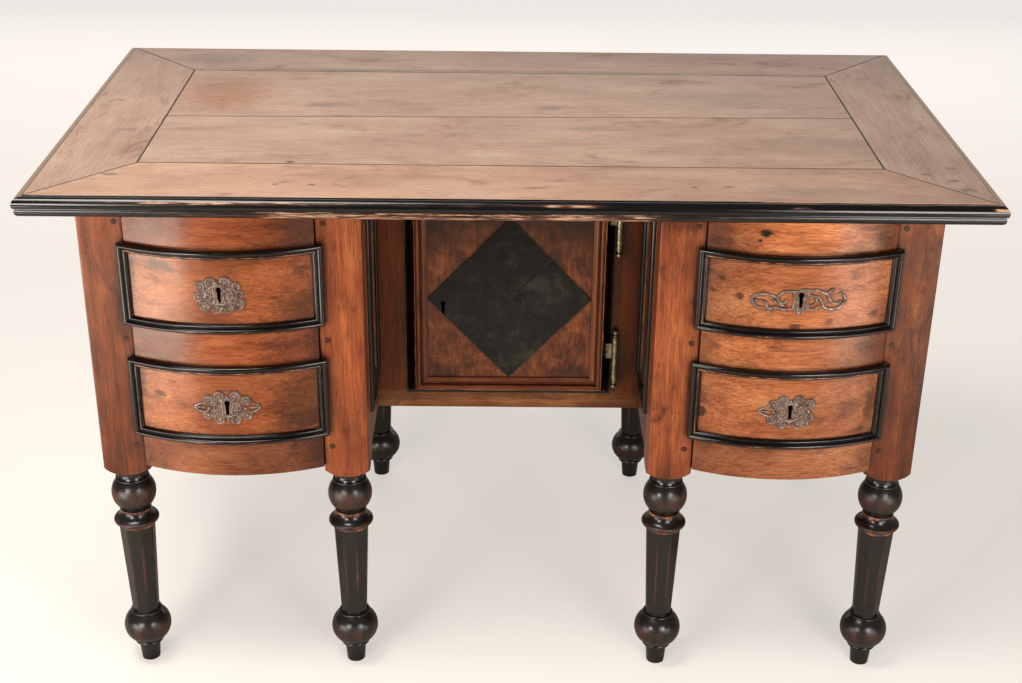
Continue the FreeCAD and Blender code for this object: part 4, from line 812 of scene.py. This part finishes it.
for drawer, look in cartouches.items():
    side, level = drawer.split("_")
    x, z = bow["x"] * sides[side], plate[level]
    # ground: the farthest of the lobes' circles in each direction, |p| = c.d + sqrt(r^2 - |c|^2 + (c.d)^2)
    lobes = np.array(look["lobes"])
    facing = lobes[:, :1] * np.cos(turn) + lobes[:, 1:2] * np.sin(turn)
    inside = lobes[:, 2:] ** 2 - np.sum(lobes[:, :2] ** 2, axis=1)[:, None] + facing ** 2
    reach = np.where((inside > 0) & (facing > 0), facing + np.sqrt(np.clip(inside, 0, None)), plate["least"])
    reach = reach.max(axis=0)
    ground = np.stack([reach * np.cos(turn), reach * np.sin(turn)], 1)
    grids = [keyPlateGrid(x, z, ground, plate["ground"]), keyPlateGrid(x, z, collarLine, plate["collar"]),
             strandGrid(x, z, collarLine, plate["rim"], closed=True)]
    for u, v, radius in look["lobes"]:
        facing = math.atan2(v * plate["lean"], u)
        scrolled = curl(u, v, radius - plate["curlIn"], facing, 1 if u * v > 0 else -1)
        # a tendril from the lobe to the collar, by shares of the lobe's place and a lift
        inward = curve([(u * across, v * up + lift) for across, up, lift in plate["tendrilPath"]])
        grids += [strandGrid(x, z, scrolled, plate["curl"]), strandGrid(x, z, inward, plate["tendril"]),
                  domeGrid(x, z, u, v, radius * plate["boss"][0], plate["boss"][1])]
    for tip in look["tips"]:
        vein = curve([(tip[0][0], 0), (tip[1][0], 0), (tip[2][0] * plate["veinEnd"], 0)])
        grids += [strandGrid(x, z, curve(tip), plate["tip"], thin=0.8), strandGrid(x, z, vein, plate["vein"])]
    # an oval ring ties the scrolls together
    hours = np.arange(12) * math.pi / 6
    ring = curve(np.stack([np.cos(hours), np.sin(hours)], 1) * plate["ring"], closed=True)
    grids.append(strandGrid(x, z, ring, plate["rim"], closed=True))
    grids += [domeGrid(x, z, u, v, *plate["nail"]) for u, v in look["nails"]]
    makePiece(f"{drawer}_openwork", grids, metals["bronze"], f"{drawer}_drawer", [f"{drawer}_escutcheon"])

scroll = dict(
    thick=1.1, rim=2.4, swell=1.4, flat=0.4, nail=(2.7, 2.6),
    shield=[(0, 15), (6, 16), (10.5, 13), (8.6, 4), (10, -8), (8.4, -14), (4, -18), (-1, -21.5), (-6, -18),
            (-10.4, -13), (-8.8, 0), (-10, 12), (-5, 13)],
    strands=[
        ([(-9, 12.5), (-20, 12), (-27, 9), (-31, 3), (-29.5, -3), (-25, -5.5), (-20.5, -3), (-20, 1)], 3.4),
        ([(-29, -2), (-34, 3), (-41, 6), (-50, 7), (-58, 5.5), (-64, 1), (-65, -4), (-62, -9.5), (-56, -13),
          (-51, -12)], 3.6),
        ([(-9.5, -12.5), (-23, -14), (-33, -12), (-40, -14), (-44.5, -12), (-46, -7), (-50, -3.5), (-56, -3)], 3.4),
        ([(-41, -14), (-44, -18), (-40.5, -19)], 2.8), ([(-42, 5), (-36, -2), (-28, -8), (-18, -9)], 2.6),
        ([(9.5, 14.5), (21, 14), (29, 10.5), (35, 8), (38, 2), (41, -3), (46, -5.5), (52, -5)], 3.6),
        ([(34, 9), (39, 12.5), (42.5, 15), (44, 12)], 2.8),
        ([(49, 7.5), (54, 9), (59, 3), (60, -4), (55, -11), (47, -14), (39, -14), (32, -11), (28, -3), (23, 3.5),
          (9, 8)], 3.6),
        ([(9, 5), (18, 4), (21, -1), (18, -6), (13, -7)], 2.8), ([(8.5, -13), (19, -13.5), (24, -9)], 2.8)],
    nails=[(-59.5, -3), (54, -3.5), (-2, -18)])
x, z = bow["x"], plate["upper"]
shield = curve(scroll["shield"], closed=True)
grids = [keyPlateGrid(x, z, shield, scroll["thick"]), strandGrid(x, z, shield, scroll["rim"], closed=True)]
grids += [strandGrid(x, z, curve(path), width * scroll["swell"], flat=scroll["flat"])
          for path, width in scroll["strands"]]
grids += [domeGrid(x, z, u, v, *scroll["nail"]) for u, v in scroll["nails"]]
makePiece("right_upper_openwork", grids, metals["bronze"], "right_upper_drawer", ["right_upper_escutcheon"])
print("escutcheons done")

# turned legs
turnedLeg = dict(
    x=(231.5, 548.5), y=(-258.5, 303.5), around=96, shaft=(90, 241.5), shaftAcross=(37, 49), shaftRows=16,
    softened=1.072, beadTop=247, fillet=268.3, footRub=(28, 6, 0.46), headRub=(26, 5, 0.5), ringRub=0.72,
    arrisRub=0.66, arrisFade=3, arrisWidth=0.24, rubbedSide=(0.8, 0.2, 1.2), filletHalf=2.2, blotch=0.35,
    foot=[(0.01, 0), (13.5, 0), (16, 31), (20, 31, -5 / 3), (20, 36, -14), (22, 86, -4 / 3), (22, 90)],
    head=[(25.6, 241.5, -1.6), (25.6, 247), (30.2, 247.6, -2.7), (29.8, 254.5, 1.9), (20.6, 266.1),
          (22.4, 266.5, -0.5), (22.4, 270.1), (20, 270.6), (20, 271.6, -10.4), (23.5, 319), (23, 319, -1.4),
          (23, 323.5), (22, 323.5, 1.5), (21, 336.5), (21, 338), (0.01, 338)])


def turned(leg):
    # radius and height along the profile, turned once round; the shaft's radius follows a regular octagon
    turn = np.linspace(0, 2 * math.pi, leg["around"], endpoint=False)[None, :]
    wedge = (turn + math.pi / 8) % (math.pi / 4) - math.pi / 8
    foot = drawOutline(leg["foot"], steps=12, closed=False)
    head = drawOutline(leg["head"], steps=12, closed=False)
    s = np.linspace(0, 1, leg["shaftRows"])[:, None]
    apothem = (leg["shaftAcross"][0] * (1 - s) + leg["shaftAcross"][1] * s) / 2
    octagon = np.minimum(apothem / np.cos(wedge), apothem * leg["softened"])
    radius = np.concatenate([foot[:, :1] + 0 * turn, octagon, head[:, :1] + 0 * turn])
    height = np.concatenate([foot[:, 1:], leg["shaft"][0] + s * (leg["shaft"][1] - leg["shaft"][0]), head[:, 1:]])
    # hands and shoes rub the balls, the rings and the middle of the shaft's arrises
    least, more, facing = leg["rubbedSide"]
    arris = np.clip(1 - (math.pi / 8 - np.abs(wedge)) / leg["arrisWidth"], 0, 1)

    def ballWear(line, least, more, depth):
        return np.clip((line[:, :1] - least) / more, 0, 1) * depth + 0 * turn

    ringed = (head[:, 1:] < leg["beadTop"]) | (np.abs(head[:, 1:] - leg["fillet"]) < leg["filletHalf"])
    headWear = np.where(ringed, leg["ringRub"], ballWear(head, *leg["headRub"]))
    middle = 1 - np.abs(2 * s - 1) ** leg["arrisFade"]
    shaftWear = arris * (least + more * np.cos(turn + facing)) * leg["arrisRub"] * middle
    wear = np.concatenate([ballWear(foot, *leg["footRub"]), shaftWear, headWear])
    # the wear is streaky on the shaft and blotchy on the turned parts
    spread = np.concatenate([leg["blotch"] + 0 * foot[:, :1], 1 + 0 * s, leg["blotch"] + 0 * head[:, :1]])
    return radius, height, turn, wear, spread


radius, height, turn, wear, spread = turned(turnedLeg)
for side, sign in sides.items():
    grids = []
    for number, (x, y) in enumerate([(a * sign, b) for a in turnedLeg["x"] for b in turnedLeg["y"]]):
        points = stacked(x + radius * np.cos(turn), y + radius * np.sin(turn), height)
        start = grainStep["leg"] * number + grainStep["pedestal"] * sign
        grain = stacked(height + start, spread * radius * np.cos(turn), spread * radius * np.sin(turn))
        grids.append(dict(points=points, grain=grain, wear=wear))
    makePiece(f"{side}_turned_legs", grids, blacks["leg"], "carcass", [f"{side}_legs"])
print("legs done")

# floor, light and camera
floorLook = dict(half=40.0, near=(0.0, 0.475), far=(4.4, 0.72), cloud=1.1, rough=0.9)
floorMesh = bpy.data.meshes.new("floor")
reach = floorLook["half"]
floorMesh.from_pydata([(-reach, -reach, 0), (reach, -reach, 0), (reach, reach, 0), (-reach, reach, 0)], [],
                      [(0, 1, 2, 3)])
# Matt paint, barely clouded
floorPaint = newMaterial("paintedFloor")
floorPlace = put("TexCoord").outputs["Object"]
floorCloud = put("TexNoise", {"Vector": floorPlace, "Scale": floorLook["cloud"], "Detail": 2.0})
floorTone = put("ValToRGB", {"Fac": floorCloud.outputs["Fac"]}, stops=[(0.3, "#bdb6ab"), (0.7, "#c4bdb3")])
# the camera alone sees the floor a little paler, so that the ground stays near white with no more light on the desk
seen = put("LightPath").outputs["Is Camera Ray"]
away = put("SeparateXYZ", {"Vector": floorPlace}).outputs["Y"]
(nearPlace, nearPale), (farPlace, farPale) = floorLook["near"], floorLook["far"]
pale = ranged(away, nearPlace, farPlace, nearPale, farPale, interpolation_type="SMOOTHSTEP")
close({
    "Base Color": floorTone.outputs["Color"], "Roughness": floorLook["rough"], "Emission Color": linear("#fdfaf7"),
    "Emission Strength": sums("MULTIPLY", seen, pale)})
floorMesh.materials.append(floorPaint)
floor = bpy.data.objects.new("floor", floorMesh)
scene.collection.objects.link(floor)

studio = dict(colour="#f4efe8", strength=0.2)
world = bpy.data.worlds.new("studio")
scene.world = world
world.use_nodes = True
world.node_tree.nodes["Background"].inputs["Color"].default_value = linear(studio["colour"])
world.node_tree.nodes["Background"].inputs["Strength"].default_value = studio["strength"]


def standing(name, data, right, up, back, place):
    # a lamp or a camera that looks away from its back
    matrix = np.eye(4)
    matrix[:3] = np.stack([right, up, back, place], 1)
    holder = bpy.data.objects.new(name, data)
    holder.matrix_world = Matrix(matrix.tolist())
    scene.collection.objects.link(holder)
    return holder


# place, aim and size in metres, power in watts
softboxes = {
    "keyLeft": dict(place=(-1.25, -2.1, 0.95), aim=(-0.3, -0.2, 0.55), size=(0.6, 0.7), power=22, tint="#fff8ef"),
    "fillRight": dict(place=(1.1, -2.15, 0.95), aim=(0.3, -0.2, 0.55), size=(0.7, 0.95), power=24, tint="#fff9f2"),
    "lowLeft": dict(place=(-1.25, -1.04, 0.2), aim=(-0.5, -0.3, 0.6), size=(0.75, 0.36), power=7.7, tint="#fff8ef"),
    "lowRight": dict(place=(1.12, -1.08, 0.24), aim=(0.46, -0.31, 0.65), size=(0.45, 0.36), power=2.4, tint="#fff8ef"),
    "overhead": dict(place=(-0.9, -0.7, 3.0), aim=(-0.3, 0.0, 0.0), size=(1.2, 1.0), power=62, tint="#fffaf4"),
    "backWall": dict(place=(0.0, 3.3, 1.8), aim=(0.0, 0.0, 0.9), size=(6.0, 2.4), power=42, tint="#fffaf4"),
}
for label, box in softboxes.items():
    lamp = bpy.data.lights.new(label, "AREA")
    lamp.shape = "RECTANGLE"
    lamp.size, lamp.size_y = box["size"]
    lamp.energy = box["power"]
    lamp.color = linear(box["tint"])[:3]
    away = np.subtract(box["place"], box["aim"])
    away /= np.linalg.norm(away)
    right = np.cross((0, 0, 1), away)
    right /= np.linalg.norm(right)
    standing(label, lamp, right, np.cross(away, right), away, box["place"]).visible_camera = False

# fitted to the photo: place in mm, angles in degrees, focal length in pixels of its width
shot = dict(place=(-15.75, -2257.7, 1511.4), yaw=0.51, pitch=25.83, roll=0.71, focal=1584, imageWidth=1022, sensor=36)
yaw, pitch, roll = (math.radians(shot[key]) for key in ("yaw", "pitch", "roll"))
ahead = np.array([math.sin(yaw) * math.cos(pitch), math.cos(yaw) * math.cos(pitch), -math.sin(pitch)])
level = np.array([math.cos(yaw), -math.sin(yaw), 0])
upright = np.cross(level, ahead)
lens = bpy.data.cameras.new("camera")
lens.sensor_width = shot["sensor"]
lens.lens = shot["sensor"] * shot["focal"] / shot["imageWidth"]
scene.camera = standing(
    "camera", lens, math.cos(roll) * level + math.sin(roll) * upright,
    math.cos(roll) * upright - math.sin(roll) * level, -ahead, np.array(shot["place"]) * mm)
scene.view_settings.view_transform = "Standard"
